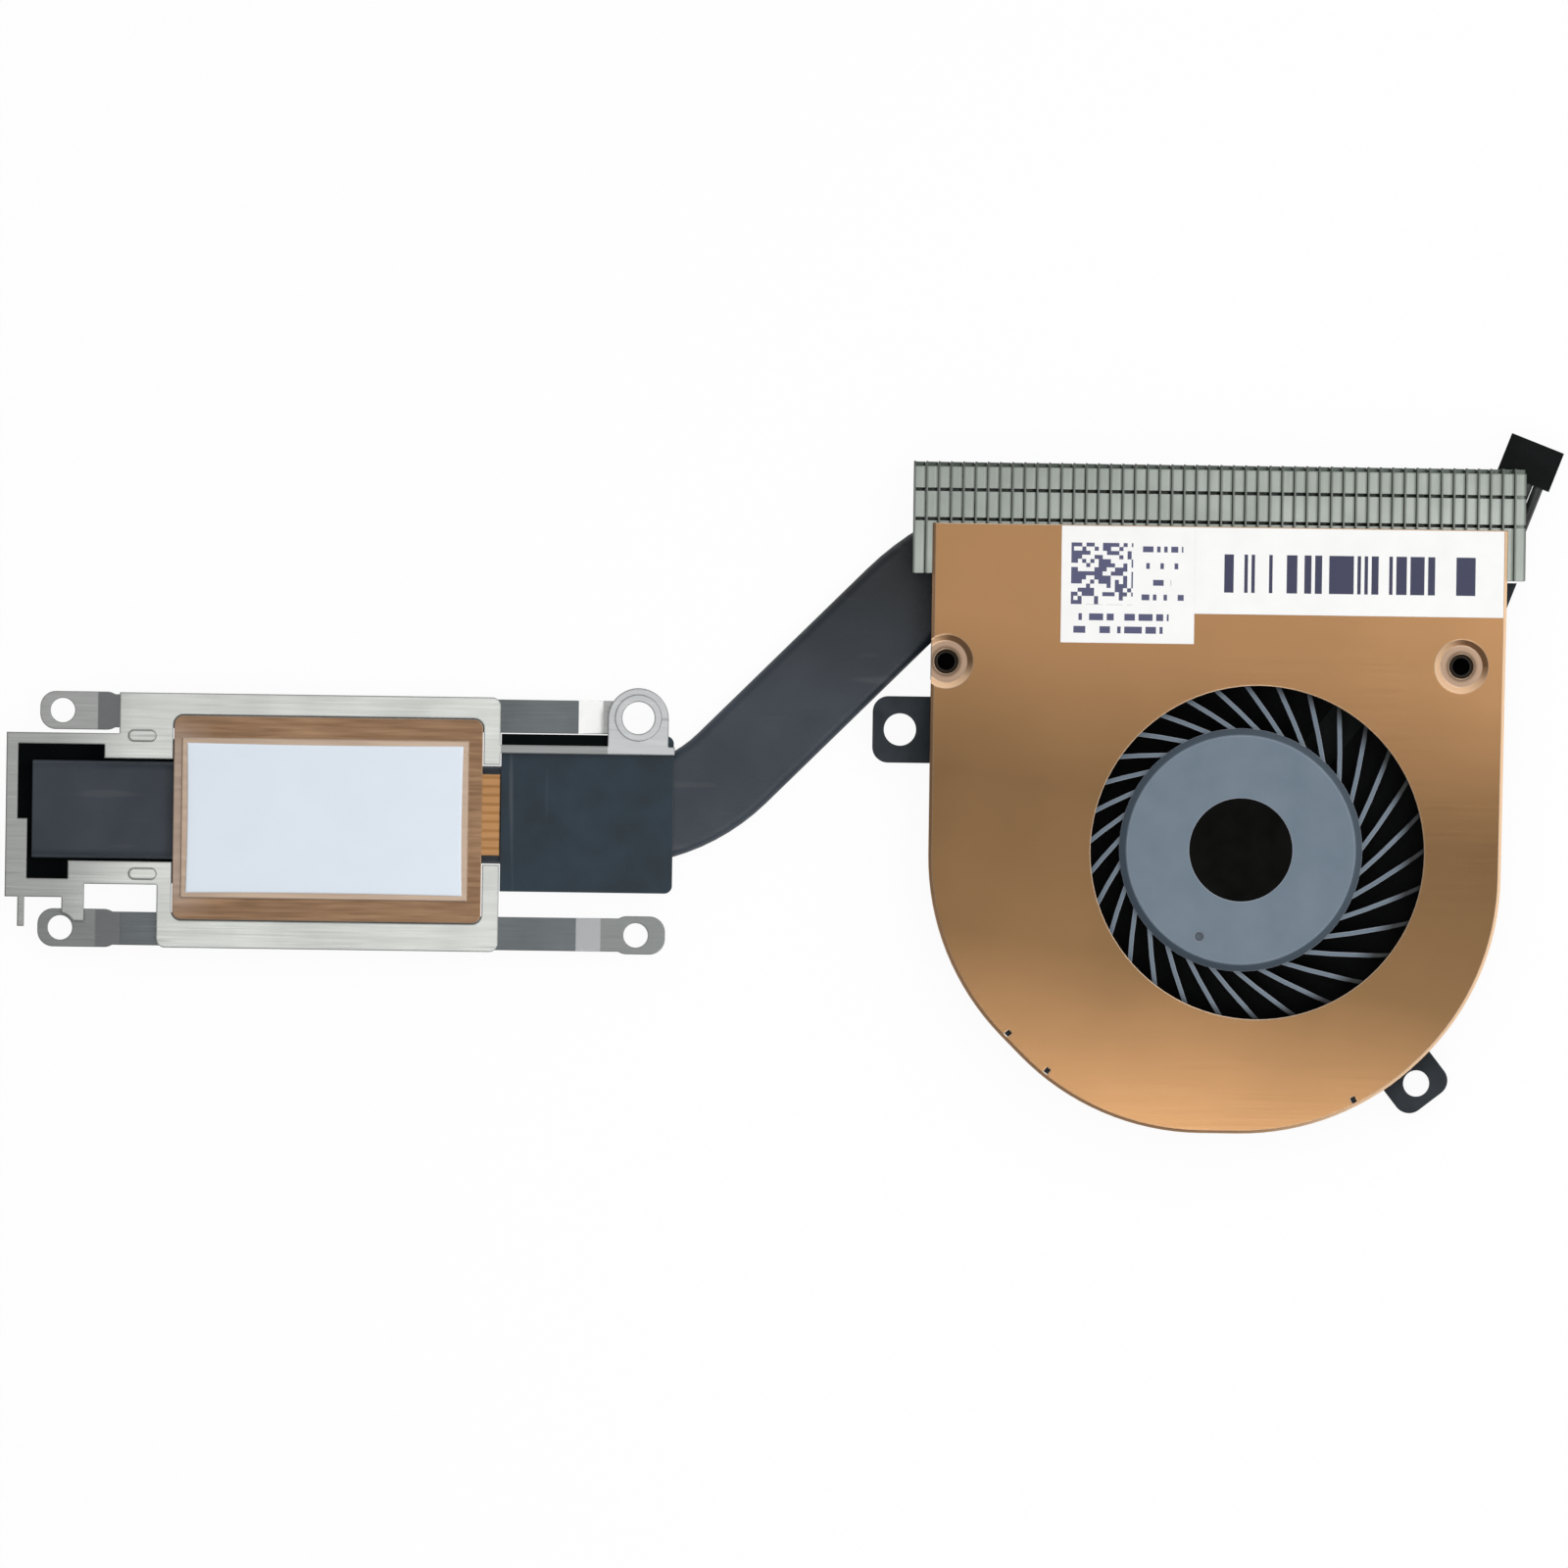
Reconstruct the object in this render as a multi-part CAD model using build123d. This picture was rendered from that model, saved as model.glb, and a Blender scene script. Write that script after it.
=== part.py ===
from build123d import *
import math
import os

# Laptop cooling module: a flat blower, a fin stack, a flattened heat pipe and a sprung cold plate.
# Millimetres. Origin on the rotor axis at the resting plane, +X along the fins, +Y to the air outlet.

# Blower case
FAN_H = 6.5
FLOOR_T = 0.6
WALL_T = 1.0
COVER_T = 0.4
FIT = 0.02
LID_GAP = 0.05
# Cover edge from the rotor axis, in even turns from the right flank round the back to the left flank
SCROLL_REACH = (26.4, 28.1, 28.9, 30.75, 31.85)
BEND_SHARE = 0.98
FLANK_LEAN = 0.4
COVER_FRONT_Y = 32.9
SKIRT_H = 1.8
SKIRT_FRONT_Y = 25.6
RIM_CHAMFER = 0.3
INLET_R = 17.0
INLET_X = 1.65
INLET_Y = -0.25
SLIT_W = 0.5
SLIT_DEPTH = 0.6
SLIT_ANGLES = (-141.0, -130.5, -65.0)

# Screw recesses in the cover and the bosses under them
SCREW_RIGHT = (22.2, 19.0)
SCREW_LEFT = (-30.3, 18.8)
DISH_R = 2.75
DISH_FLAT_R = 2.15
DISH_DEPTH = 0.5
DISH_HOLE_R = 1.25
BOSS_R = 2.4
BOSS_BORE_R = 0.9
TONGUE_W = 5.8
TONGUE_BACK_Y = 12.0
TONGUE_FRONT_Y = 22.5
TONGUE_GAP = 1.4
TONGUE_NOSE_R = 1.5

# Mounting ears of the case: hole place, pointing angle, reach past the hole, width, hole radius
EAR_T = 1.5
EAR_Z = 1.5
EAR_CORNER_R = 1.6
EAR_ROOT = 5.0
EAR_LEFT = {"x": -34.9, "y": 11.8, "angle": 180.0, "reach": 2.8, "width": 6.8, "hole_r": 1.65}
EAR_RIGHT = {"x": 18.3, "y": -23.6, "angle": -52.0, "reach": 2.3, "width": 6.1, "hole_r": 1.35}

# Moulded step round the motor seat, on the underside of the closed floor
SEAT_RING_R = 13.0
SEAT_RING_W = 0.8
SEAT_RING_DEPTH = 0.2

# Impeller and rotor
HUB_R = 12.4
HUB_WALL = 1.5
HUB_TOP_T = 1.2
HUB_COVER_GAP = 0.5
HUB_SLOPE_W = 0.8
HUB_SLOPE_H = 0.55
BLADE_COUNT = 31
BLADE_T = 0.45
BLADE_TIP_R = 23.4
BLADE_MID_R = 16.5
BLADE_MID_SWEEP = 18.2
BLADE_TIP_SWEEP = 32.0
BLADE_RUNS = 4
BLADE_DROP = 1.0
BLADE_FLOOR_GAP = 0.65
CAP_R = 5.25
CAP_T = 0.25
CAP_DEPTH = 0.3
BALANCE_HOLE_R = 0.5
BALANCE_HOLE_DEPTH = 0.35
BALANCE_R = 9.8
BALANCE_ANGLE = -115.0
YOKE_T = 0.5
COLLAR_W = 0.75
COLLAR_H = 0.6
MAGNET_W = 1.5
MAGNET_H = 2.5
AIR_GAP = 0.35
SHAFT_R = 0.75
SHAFT_CLEAR = 0.03
GROOVE_DEPTH = 0.2

# Bearing and stator
THRUST_T = 0.3
WASHER_T = 0.18
WASHER_GAP = 0.08
BEARING_W = 1.5
TUBE_W = 0.7
TUBE_SEAT = 0.4
TUBE_YOKE_GAP = 0.3
POLE_COUNT = 6
CORE_H = 1.3
CORE_RING_W = 1.2
TOOTH_W = 1.4
TIP_T = 0.7
TIP_GAP = 1.1
COIL_BUILD = 0.6
COIL_END_GAP = 0.15
BOARD_T = 0.3
BOARD_R = 8.6
TAIL_W = 3.6
TAIL_ANGLE = 52.0
PAD_LEN = 8.0
PAD_W = 2.4
PAD_GAP = 0.3

# Fan lead: wires side by side, slanting out past the end of the fins to a plug-in connector
WIRE_COUNT = 4
WIRE_R = 0.53
WIRE_PITCH = 1.12
LEAD_X = 23.0
LEAD_Y = 24.0
LEAD_SLANT = 21.0
LEAD_LEN = 15.0
LEAD_CLEAR = 0.15
GUIDE_BACK_Y = 21.4
GUIDE_REACH = 2.4
GUIDE_T = 1.0
PLUG_W = 5.7
PLUG_L = 4.2
PLUG_H = 1.5
PLUG_EDGE_R = 0.25
POCKET_W = 0.8
POCKET_H = 0.7
POCKET_DEPTH = 2.4
CONTACT_L = 1.9
CONTACT_W = 0.6
CONTACT_T = 0.3

# Fin stack of folded, interlocking C-section fins
FIN_COUNT = 50
FIN_PITCH = 1.25
FIN_T = 0.2
FIN_SEAM = 0.06
FIN_DEPTH = 11.4
FIN_BACK_Y = 27.8
STACK_X = -2.6
FLANGE_SETBACK = 0.5
LOCK_SETBACKS = (2.7, 5.7)
LOCK_L = 0.35
CASE_FIN_GAP = 0.2

# Heat pipe
FILM_T = 0.1
PIPE_W = 10.0
PIPE_T = 1.9
PIPE_LEFT_X = -123.4
PIPE_KNEE_X = -57.1
PIPE_RISE = 45.0
PIPE_FIN_Y = 32.0
PIPE_END_X = 20.3
KNEE_R = 17.5
ELBOW_R = 25.0
PIPE_CLEAR = 0.35

# Cold plate bracket, in its own plan frame about the centre of its four screw holes
BRACKET_X = -91.0
BRACKET_Y = 1.5
HOLE_SPACING_X = 58.8
HOLE_SPACING_Y = 22.2
PIPE_V = 1.0

# Copper cold plate and its thermal pad
COPPER_W = 31.5
COPPER_H = 20.8
COPPER_T = 0.9
COPPER_U = -2.2
COPPER_V = 0.3
COPPER_CORNER_R = 0.9
TONGUE_REACH = 1.8
TONGUE_LEN = 8.3
PAD_U = -2.5
PAD_PLAN_W = 28.2
PAD_PLAN_H = 15.3
PAD_T = 0.2
LAND_T = 0.3
LAND_EDGE = 0.5
REBATE_GAP = 0.1

# Nickelled frame: main window frame, left extension, finger, lug, and the strip with its screw tab
FRAME_T = 0.6
FRAME_H = 26.0
FRAME_CORNER_R = 0.9
WINDOW_GAP = 0.1
RAIL_W = 1.7
RAIL_NOTCH = 0.95
SHOULDER_UP = 5.5
SHOULDER_LOW = 1.5
EXT_LEN = 17.0
EXT_TOP = 8.8
EXT_BOTTOM = -8.0
EXT_RAIL = 1.2
EXT_BAR = 1.15
WELL_STEP = 1.0
WELL_TOP_LEN = 8.8
WELL_LOW_LEN = 4.2
WELL_LOW_DROP = 1.85
PIPE_SIDE_GAP = 0.25
SLOT_TOP = -6.6
SLOT_LEN = 7.4
FINGER_W = 2.3
FINGER_END = -10.4
LUG_X = 1.3
LUG_W = 0.7
LUG_END = -11.0
STRIP_W = 0.85
STRIP_LEN = 17.8
STRIP_V = 7.75
TAB_W = 6.2
TAB_RISE = 3.05
BUMP_L = 2.8
BUMP_W = 1.1
BUMP_H = 0.2
BUMP_UP = (-21.2, 8.6)
BUMP_LOW = (-21.0, -5.5)

# Spring arms, eyelet and the dark plate on the heat pipe
ARM_W = 3.4
ARM_T = 0.5
ARM_STEP = 0.6
ARM_FLAT = 46.6
ARM_SLOPE = 2.5
ARM_EAR_W = 3.9
ARM_EAR_LEFT = 2.3
ARM_EAR_RIGHT = 3.0
ARM_CORNER_R = 1.6
ARM_HOLE_R = 1.25
EYELET_BORE_R = 1.65
EYELET_WALL = 0.35
EYELET_FLANGE = 0.4
EYELET_FLANGE_T = 0.2
EYELET_EAR_RIM = 0.9
PLATE_T = 0.3
PLATE_LEN = 17.6
PLATE_BOTTOM = -6.8
PLATE_GAP = 0.1
PLATE_CORNER_R = 0.8

# Insulating film under the free end of the heat pipe and beside the frame's strip
FILM_MARGIN = 0.5
FILM_OVERLAP = 1.5
FILM_BOTTOM = -6.45

# Labels on the cover
LABEL_T = 0.1
LABEL_EDGE = 0.1
SMALL_LABEL_X = -18.7
SMALL_LABEL_W = 13.6
SMALL_LABEL_H = 11.9
LONG_LABEL_W = 31.5
LONG_LABEL_H = 8.8

# Heights that follow from the sizes above
LID_Z = FAN_H - COVER_T
PIPE_TOP = FILM_T + PIPE_T
PLATE_TOP = PIPE_TOP + PLATE_T
FRAME_TOP = PLATE_TOP + FRAME_T
COPPER_TOP = PIPE_TOP + COPPER_T
LAND_TOP = COPPER_TOP + LAND_T
HUB_TOP = LID_Z - HUB_COVER_GAP
BLADE_LOW = FLOOR_T + BLADE_FLOOR_GAP
BLADE_TOP = HUB_TOP - BLADE_DROP
YOKE_TOP = HUB_TOP - HUB_TOP_T
YOKE_UNDER = YOKE_TOP - YOKE_T
BOARD_TOP = FLOOR_T + BOARD_T
CORE_MID = YOKE_UNDER - MAGNET_H / 2
THRUST_LOW = FLOOR_T - TUBE_SEAT
SHAFT_LOW = THRUST_LOW + THRUST_T + FIT
WASHER_LOW = SHAFT_LOW + WASHER_GAP
BEARING_LOW = WASHER_LOW + WASHER_T + WASHER_GAP
TUBE_TOP = YOKE_UNDER - TUBE_YOKE_GAP
DISH_TOP = FAN_H - DISH_DEPTH
BOSS_TOP = DISH_TOP - COVER_T
WIRE_Z = BOARD_TOP + WIRE_R
LEAD_ROOF = WIRE_Z + WIRE_R + LEAD_CLEAR
PLUG_MID = PIPE_TOP - FIT - PLUG_H / 2

# Radii and places that follow
CASE_INSET = COVER_T + LID_GAP
YOKE_R = HUB_R - HUB_WALL
MAGNET_R = YOKE_R - YOKE_T - FIT
STATOR_R = MAGNET_R - MAGNET_W - AIR_GAP
BORE_R = SHAFT_R + SHAFT_CLEAR
BEARING_R = BORE_R + BEARING_W
TUBE_R = BEARING_R + FIT + TUBE_W
COLLAR_R = SHAFT_R + COLLAR_W
CASE_BORE_X = SCROLL_REACH[0] - CASE_INSET - WALL_T
PIPE_Y = BRACKET_Y + PIPE_V
FLOOR_FRONT_Y = PIPE_FIN_Y - PIPE_W / 2 - PIPE_CLEAR
WALL_FRONT_Y = FIN_BACK_Y - CASE_FIN_GAP
HOLE_U = HOLE_SPACING_X / 2
HOLE_V = HOLE_SPACING_Y / 2
COPPER_LEFT = COPPER_U - COPPER_W / 2
COPPER_RIGHT = COPPER_U + COPPER_W / 2
WINDOW_LEFT = COPPER_LEFT - WINDOW_GAP
WINDOW_RIGHT = COPPER_RIGHT + WINDOW_GAP
FRAME_RIGHT = WINDOW_RIGHT + RAIL_W
EXT_LEFT = WINDOW_LEFT - EXT_LEN
ARM_IN = HOLE_V - ARM_W / 2
PLATE_LEFT = COPPER_RIGHT + TONGUE_REACH + PLATE_GAP
BRACKET = Pos(BRACKET_X, BRACKET_Y, 0)
LONG_LABEL_X = SMALL_LABEL_X + SMALL_LABEL_W
BIG = 4 * abs(PIPE_LEFT_X)


def slab(face, low, high):
    """Plate of a given outline between two heights."""
    return extrude(Pos(0, 0, low) * face, high - low)


def span(x_low, x_high, y_low, y_high):
    """Rectangle between two corners."""
    return Pos((x_low + x_high) / 2, (y_low + y_high) / 2) * Rectangle(x_high - x_low, y_high - y_low)


def ring(outer, inner, low, high):
    """Plain ring about the rotor axis."""
    return slab(Circle(outer) - Circle(inner), low, high)


def polar(radius, angle):
    """Plan point at a radius and angle about the rotor axis."""
    turn = math.radians(angle)
    return (radius * math.cos(turn), radius * math.sin(turn))


def scroll_outline(inset, front):
    """Blower outline: flanks to the front edge, the right one leaning out, and a growing spiral of bends."""
    turn = 180 / (len(SCROLL_REACH) - 1)
    lean = math.radians(turn)
    reach = [distance - inset for distance in SCROLL_REACH]
    corners = [Vector(reach[0] + FLANK_LEAN, front)]
    for index in range(len(reach) - 1):
        along = (reach[index + 1] - reach[index] * math.cos(lean)) / math.sin(lean)
        corners.append(Vector(reach[index], -along).rotate(Axis.Z, -index * turn))
    corners.append(Vector(-reach[-1], front))
    runs = [(corners[index + 1] - corners[index]).length for index in range(1, len(reach) - 1)]
    bend_r = BEND_SHARE * min(runs) / 2 / math.tan(lean / 2)
    back = FilletPolyline(*corners, radius=bend_r)
    edge = Line(corners[-1], corners[0])
    return make_face(Curve() + [back, edge])


def pipe_path():
    """Centre line of the heat pipe: bracket run, slanting run and fin run."""
    height = FILM_T + PIPE_T / 2
    elbow_x = PIPE_KNEE_X + (PIPE_FIN_Y - PIPE_Y) / math.tan(math.radians(PIPE_RISE))
    corners = [
        (PIPE_LEFT_X, PIPE_Y, height),
        (PIPE_KNEE_X, PIPE_Y, height),
        (elbow_x, PIPE_FIN_Y, height),
        (PIPE_END_X, PIPE_FIN_Y, height),
    ]
    return FilletPolyline(*corners, radius=[KNEE_R, ELBOW_R])


def along_pipe(section):
    """Sweep a section, drawn across and up, along the heat pipe."""
    start = Plane(origin=(PIPE_LEFT_X, PIPE_Y, FILM_T + PIPE_T / 2), x_dir=(0, 1, 0), z_dir=(1, 0, 0))
    return sweep(start * section, path=pipe_path())


def lead_frame(distance, across, height):
    """Placement on the fan lead: +Y along the lead, +X across it."""
    slant = math.radians(LEAD_SLANT)
    x = LEAD_X + distance * math.sin(slant) + across * math.cos(slant)
    y = LEAD_Y + distance * math.cos(slant) - across * math.sin(slant)
    return Pos(x, y, height) * Rot(0, 0, -LEAD_SLANT)


def wire_offsets():
    """Sideways places of the wires in the lead."""
    first = -WIRE_PITCH * (WIRE_COUNT - 1) / 2
    return [first + WIRE_PITCH * index for index in range(WIRE_COUNT)]


def case_ear(place):
    """Rounded ear outline with its screw hole."""
    length = place["reach"] + EAR_ROOT
    body = Pos(place["reach"] - length / 2, 0) * RectangleRounded(length, place["width"], EAR_CORNER_R)
    return Pos(place["x"], place["y"]) * Rot(0, 0, place["angle"]) * (body - Circle(place["hole_r"]))


def fan_housing():
    """Moulded case: closed floor, spiral wall, tongue, bosses, two ears and a guide over the lead."""
    inner = scroll_outline(CASE_INSET + WALL_T, COVER_FRONT_Y)
    walled = scroll_outline(CASE_INSET, WALL_FRONT_Y)
    floor = scroll_outline(CASE_INSET, FLOOR_FRONT_Y)
    case = slab(floor, 0, FLOOR_T) + slab(walled - inner, 0, LID_Z)
    tongue = span(CASE_BORE_X - TONGUE_W, CASE_BORE_X + WALL_T / 2, TONGUE_BACK_Y, TONGUE_FRONT_Y)
    tongue = fillet(tongue.vertices().group_by(Axis.Y)[-1].sort_by(Axis.X)[0], TONGUE_NOSE_R)
    case += slab(tongue - Circle(BLADE_TIP_R + TONGUE_GAP), 0, LID_Z)
    ears = case_ear(EAR_LEFT) + case_ear(EAR_RIGHT) - inner
    case += slab(ears, EAR_Z, EAR_Z + EAR_T)
    boss = Pos(*SCREW_LEFT) * Circle(BOSS_R) & scroll_outline(0, WALL_FRONT_Y)
    case += slab(boss, 0, BOSS_TOP)
    case += slab(Pos(*SCREW_RIGHT) * Circle(BOSS_R) & inner, 0, BOSS_TOP)
    for place in (SCREW_LEFT, SCREW_RIGHT):
        case -= slab(Pos(*place) * Circle(DISH_R + PIPE_CLEAR), BOSS_TOP, FAN_H)
        case -= slab(Pos(*place) * Circle(BOSS_BORE_R), FLOOR_T, FAN_H)
    case -= slab(Circle(TUBE_R + FIT), THRUST_LOW, FLOOR_T)
    case -= ring(SEAT_RING_R, SEAT_RING_R - SEAT_RING_W, 0, SEAT_RING_DEPTH)
    relief = Rectangle(PIPE_W + 2 * PIPE_CLEAR, PIPE_T + 2 * (PIPE_CLEAR + FILM_T))
    case -= Pos(0, 0, PIPE_CLEAR - FILM_T) * along_pipe(relief)
    lead_w = WIRE_PITCH * (WIRE_COUNT - 1) + 2 * (WIRE_R + LEAD_CLEAR)
    notch = span(-lead_w / 2, lead_w / 2, -PAD_W, LEAD_LEN)
    case -= lead_frame(0, 0, 0) * slab(notch, FLOOR_T, LEAD_ROOF)
    wall_mid = CASE_BORE_X + WALL_T / 2
    guide_tip = (wall_mid + GUIDE_REACH, WALL_FRONT_Y)
    guide = make_face(Polyline((wall_mid, GUIDE_BACK_Y), guide_tip, (wall_mid, WALL_FRONT_Y), close=True))
    case += slab(guide, LEAD_ROOF, LEAD_ROOF + GUIDE_T)
    return case


def cover_dish(place):
    """Pressed screw recess: flat ring at the bottom of a short cone."""
    points = [
        (DISH_R, FAN_H),
        (DISH_FLAT_R, DISH_TOP),
        (DISH_HOLE_R, DISH_TOP),
        (DISH_HOLE_R, BOSS_TOP),
        (DISH_FLAT_R, BOSS_TOP),
        (DISH_R, LID_Z),
    ]
    profile = make_face(Plane.XZ * Polyline(*points, close=True))
    return Pos(*place) * revolve(profile, Axis.Z)


def fan_cover():
    """Copper-coloured lid: pressed sheet with a turned-down skirt, inlet and two screw recesses."""
    outline = scroll_outline(0, COVER_FRONT_Y)
    inside = scroll_outline(COVER_T, COVER_FRONT_Y)
    skirt = (outline - inside) & span(-BIG, BIG, -BIG, SKIRT_FRONT_Y)
    lid = slab(outline, LID_Z, FAN_H) + slab(skirt, LID_Z - SKIRT_H, LID_Z)
    rim = lid.faces().sort_by(Axis.Z)[-1].outer_wire().edges().sort_by(Axis.Y)[:-1]
    lid = chamfer(rim, RIM_CHAMFER)
    lid -= slab(Pos(INLET_X, INLET_Y) * Circle(INLET_R), LID_Z, FAN_H)
    border = inside - scroll_outline(COVER_T + SLIT_DEPTH, COVER_FRONT_Y)
    for angle in SLIT_ANGLES:
        slit = Rot(0, 0, angle) * span(0, BIG, -SLIT_W / 2, SLIT_W / 2)
        lid -= slab(slit & border, LID_Z, FAN_H)
    body = slab(outline, 0, FAN_H)
    for place in (SCREW_LEFT, SCREW_RIGHT):
        lid -= slab(Pos(*place) * Circle(DISH_R), 0, FAN_H)
        lid += cover_dish(place) & body
    return lid


def blade_outline():
    """One curved blade in short straight runs, rooted in the hub wall."""
    stations = [
        (HUB_R - HUB_WALL / 2, -BLADE_MID_SWEEP * HUB_WALL / (2 * (BLADE_MID_R - HUB_R))),
        (BLADE_MID_R, BLADE_MID_SWEEP),
        (BLADE_TIP_R, BLADE_TIP_SWEEP),
    ]
    camber = ThreePointArc(*[polar(radius, turn) for radius, turn in stations])
    steps = [index / BLADE_RUNS for index in range(BLADE_RUNS + 1)]
    return trace(Polyline(*[camber @ step for step in steps]), BLADE_T)


def impeller():
    """Moulded hub with its ring of blades."""
    hub = slab(Circle(HUB_R), BLADE_LOW, HUB_TOP)
    crown = hub.faces().sort_by(Axis.Z)[-1]
    hub = chamfer(crown.edges(), HUB_SLOPE_W, HUB_SLOPE_H, reference=crown)
    hub -= slab(Circle(YOKE_R + FIT), BLADE_LOW, YOKE_TOP)
    hub -= slab(Circle(COLLAR_R + FIT), YOKE_TOP, YOKE_TOP + COLLAR_H)
    hub -= slab(Circle(CAP_R + FIT), HUB_TOP - CAP_DEPTH, HUB_TOP)
    balance = Pos(*polar(BALANCE_R, BALANCE_ANGLE)) * Circle(BALANCE_HOLE_R)
    hub -= slab(balance, HUB_TOP - BALANCE_HOLE_DEPTH, HUB_TOP)
    pocket = slab(Circle(YOKE_R + FIT), BLADE_LOW, BLADE_TOP)
    blade = slab(blade_outline(), BLADE_LOW, BLADE_TOP) - pocket
    return hub + PolarLocations(0, BLADE_COUNT) * blade


def hub_cap():
    """Dark disc in the middle of the hub."""
    low = HUB_TOP - CAP_DEPTH
    return slab(Circle(CAP_R), low, low + CAP_T)


def rotor_yoke():
    """Drawn steel cup with a collar for the shaft."""
    cup = slab(Circle(YOKE_R), BLADE_LOW, YOKE_TOP) + slab(Circle(COLLAR_R), YOKE_TOP, YOKE_TOP + COLLAR_H)
    cup -= slab(Circle(YOKE_R - YOKE_T), BLADE_LOW, YOKE_UNDER)
    return cup - slab(Circle(SHAFT_R + FIT), YOKE_UNDER, YOKE_TOP + COLLAR_H)


def rotor_magnet():
    """Ring magnet inside the yoke."""
    return ring(MAGNET_R, MAGNET_R - MAGNET_W, YOKE_UNDER - MAGNET_H, YOKE_UNDER)


def rotor_shaft():
    """Hardened shaft with a retaining groove near its foot."""
    shaft = slab(Circle(SHAFT_R), SHAFT_LOW, YOKE_TOP + COLLAR_H)
    groove_low = WASHER_LOW - WASHER_GAP / 2
    return shaft - ring(2 * SHAFT_R, SHAFT_R - GROOVE_DEPTH, groove_low, groove_low + WASHER_T + WASHER_GAP)


def bearing_tube():
    """Brass tube that stands in the floor and carries bearing and stator."""
    return ring(TUBE_R, BEARING_R + FIT, THRUST_LOW, TUBE_TOP)


def sleeve_bearing():
    """Sintered bearing sleeve."""
    return ring(BEARING_R, BORE_R, BEARING_LOW, TUBE_TOP)


def retaining_washer():
    """Thin washer that sits in the shaft's groove."""
    return ring(BEARING_R, SHAFT_R - GROOVE_DEPTH / 2, WASHER_LOW, WASHER_LOW + WASHER_T)


def thrust_pad():
    """Disc that the foot of the shaft turns on."""
    return slab(Circle(BEARING_R), THRUST_LOW, THRUST_LOW + THRUST_T)


def stator_core():
    """Lamination stack: ring, teeth and pole tips."""
    core = Circle(TUBE_R + FIT + CORE_RING_W)
    tips = Circle(STATOR_R) - Circle(STATOR_R - TIP_T)
    for index in range(POLE_COUNT):
        turn = 360 / POLE_COUNT
        core += Rot(0, 0, index * turn) * span(0, STATOR_R - TIP_T / 2, -TOOTH_W / 2, TOOTH_W / 2)
        tips -= Rot(0, 0, (index + 0.5) * turn) * span(0, 2 * STATOR_R, -TIP_GAP / 2, TIP_GAP / 2)
    core = core + tips - Circle(TUBE_R + FIT)
    return slab(core, CORE_MID - CORE_H / 2, CORE_MID + CORE_H / 2)


def stator_coils():
    """One winding on each tooth."""
    start = TUBE_R + FIT + CORE_RING_W + COIL_END_GAP
    end = STATOR_R - TIP_T - COIL_END_GAP
    hole = Rectangle(TOOTH_W + 2 * FIT, CORE_H + 2 * FIT)
    outer = Rectangle(TOOTH_W + 2 * COIL_BUILD, CORE_H + 2 * COIL_BUILD)
    coil = extrude(Plane.YZ * (outer - hole), end - start)
    coil = Pos(start, 0, CORE_MID) * coil
    return [Rot(0, 0, index * 360 / POLE_COUNT) * coil for index in range(POLE_COUNT)]


def motor_board():
    """Thin board round the bearing tube, with a tail to the wire pads."""
    pad_back = TONGUE_FRONT_Y + PAD_GAP
    pad_right = CASE_BORE_X - PAD_GAP
    tail_end = (pad_back + PAD_W / 2) / math.sin(math.radians(TAIL_ANGLE))
    board = Circle(BOARD_R) + Rot(0, 0, TAIL_ANGLE) * span(0, tail_end, -TAIL_W / 2, TAIL_W / 2)
    board += span(pad_right - PAD_LEN, pad_right, pad_back, pad_back + PAD_W)
    return slab(board - Circle(TUBE_R + FIT), FLOOR_T, BOARD_TOP)


def fan_wires():
    """Insulated wires lying side by side."""
    wire = extrude(Plane.XZ * Circle(WIRE_R), -LEAD_LEN)
    return [lead_frame(0, across, WIRE_Z) * wire for across in wire_offsets()]


def connector_housing():
    """Moulded connector with one pocket for each wire."""
    body = extrude(Plane.XZ * RectangleRounded(PLUG_W, PLUG_H, PLUG_EDGE_R), -PLUG_L)
    pocket = extrude(Plane.XZ * Rectangle(POCKET_W, POCKET_H), -POCKET_DEPTH)
    for across in wire_offsets():
        body -= Pos(across, PLUG_L - POCKET_DEPTH, 0) * pocket
    return lead_frame(LEAD_LEN, 0, PLUG_MID) * body


def connector_contacts():
    """Crimped contacts at the bottom of the pockets."""
    contact = extrude(Plane.XZ * Rectangle(CONTACT_W, CONTACT_T), -CONTACT_L)
    height = PLUG_MID - (POCKET_H - CONTACT_T) / 2
    start = LEAD_LEN + PLUG_L - POCKET_DEPTH
    return [lead_frame(start, across, height) * contact for across in wire_offsets()]


def fin_stack():
    """Folded fins, each with a bottom flange and a top flange cut short and notched for the locks."""
    reach = FIN_PITCH - FIN_SEAM
    corners = [
        (0, 0, PIPE_TOP),
        (reach, 0, PIPE_TOP),
        (reach, 0, PIPE_TOP + FIN_T),
        (FIN_T, 0, PIPE_TOP + FIN_T),
        (FIN_T, 0, LID_Z - FIN_T),
        (reach, 0, LID_Z - FIN_T),
        (reach, 0, LID_Z),
        (0, 0, LID_Z),
    ]
    fin = extrude(make_face(Polyline(*corners, close=True)), FIN_DEPTH, dir=(0, 1, 0))
    fin -= slab(span(FIN_T, FIN_PITCH, FIN_DEPTH - FLANGE_SETBACK, FIN_DEPTH), PIPE_TOP + FIN_T, LID_Z)
    for setback in LOCK_SETBACKS:
        front = FIN_DEPTH - setback
        fin -= slab(span(FIN_T, FIN_PITCH, front - LOCK_L, front), PIPE_TOP + FIN_T, LID_Z)
    first = STACK_X - FIN_COUNT * FIN_PITCH / 2
    return [Pos(first + index * FIN_PITCH, FIN_BACK_Y, 0) * fin for index in range(FIN_COUNT)]


def heat_pipe():
    """Flattened pipe with round edges."""
    return along_pipe(SlotOverall(PIPE_W, PIPE_T))


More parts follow.
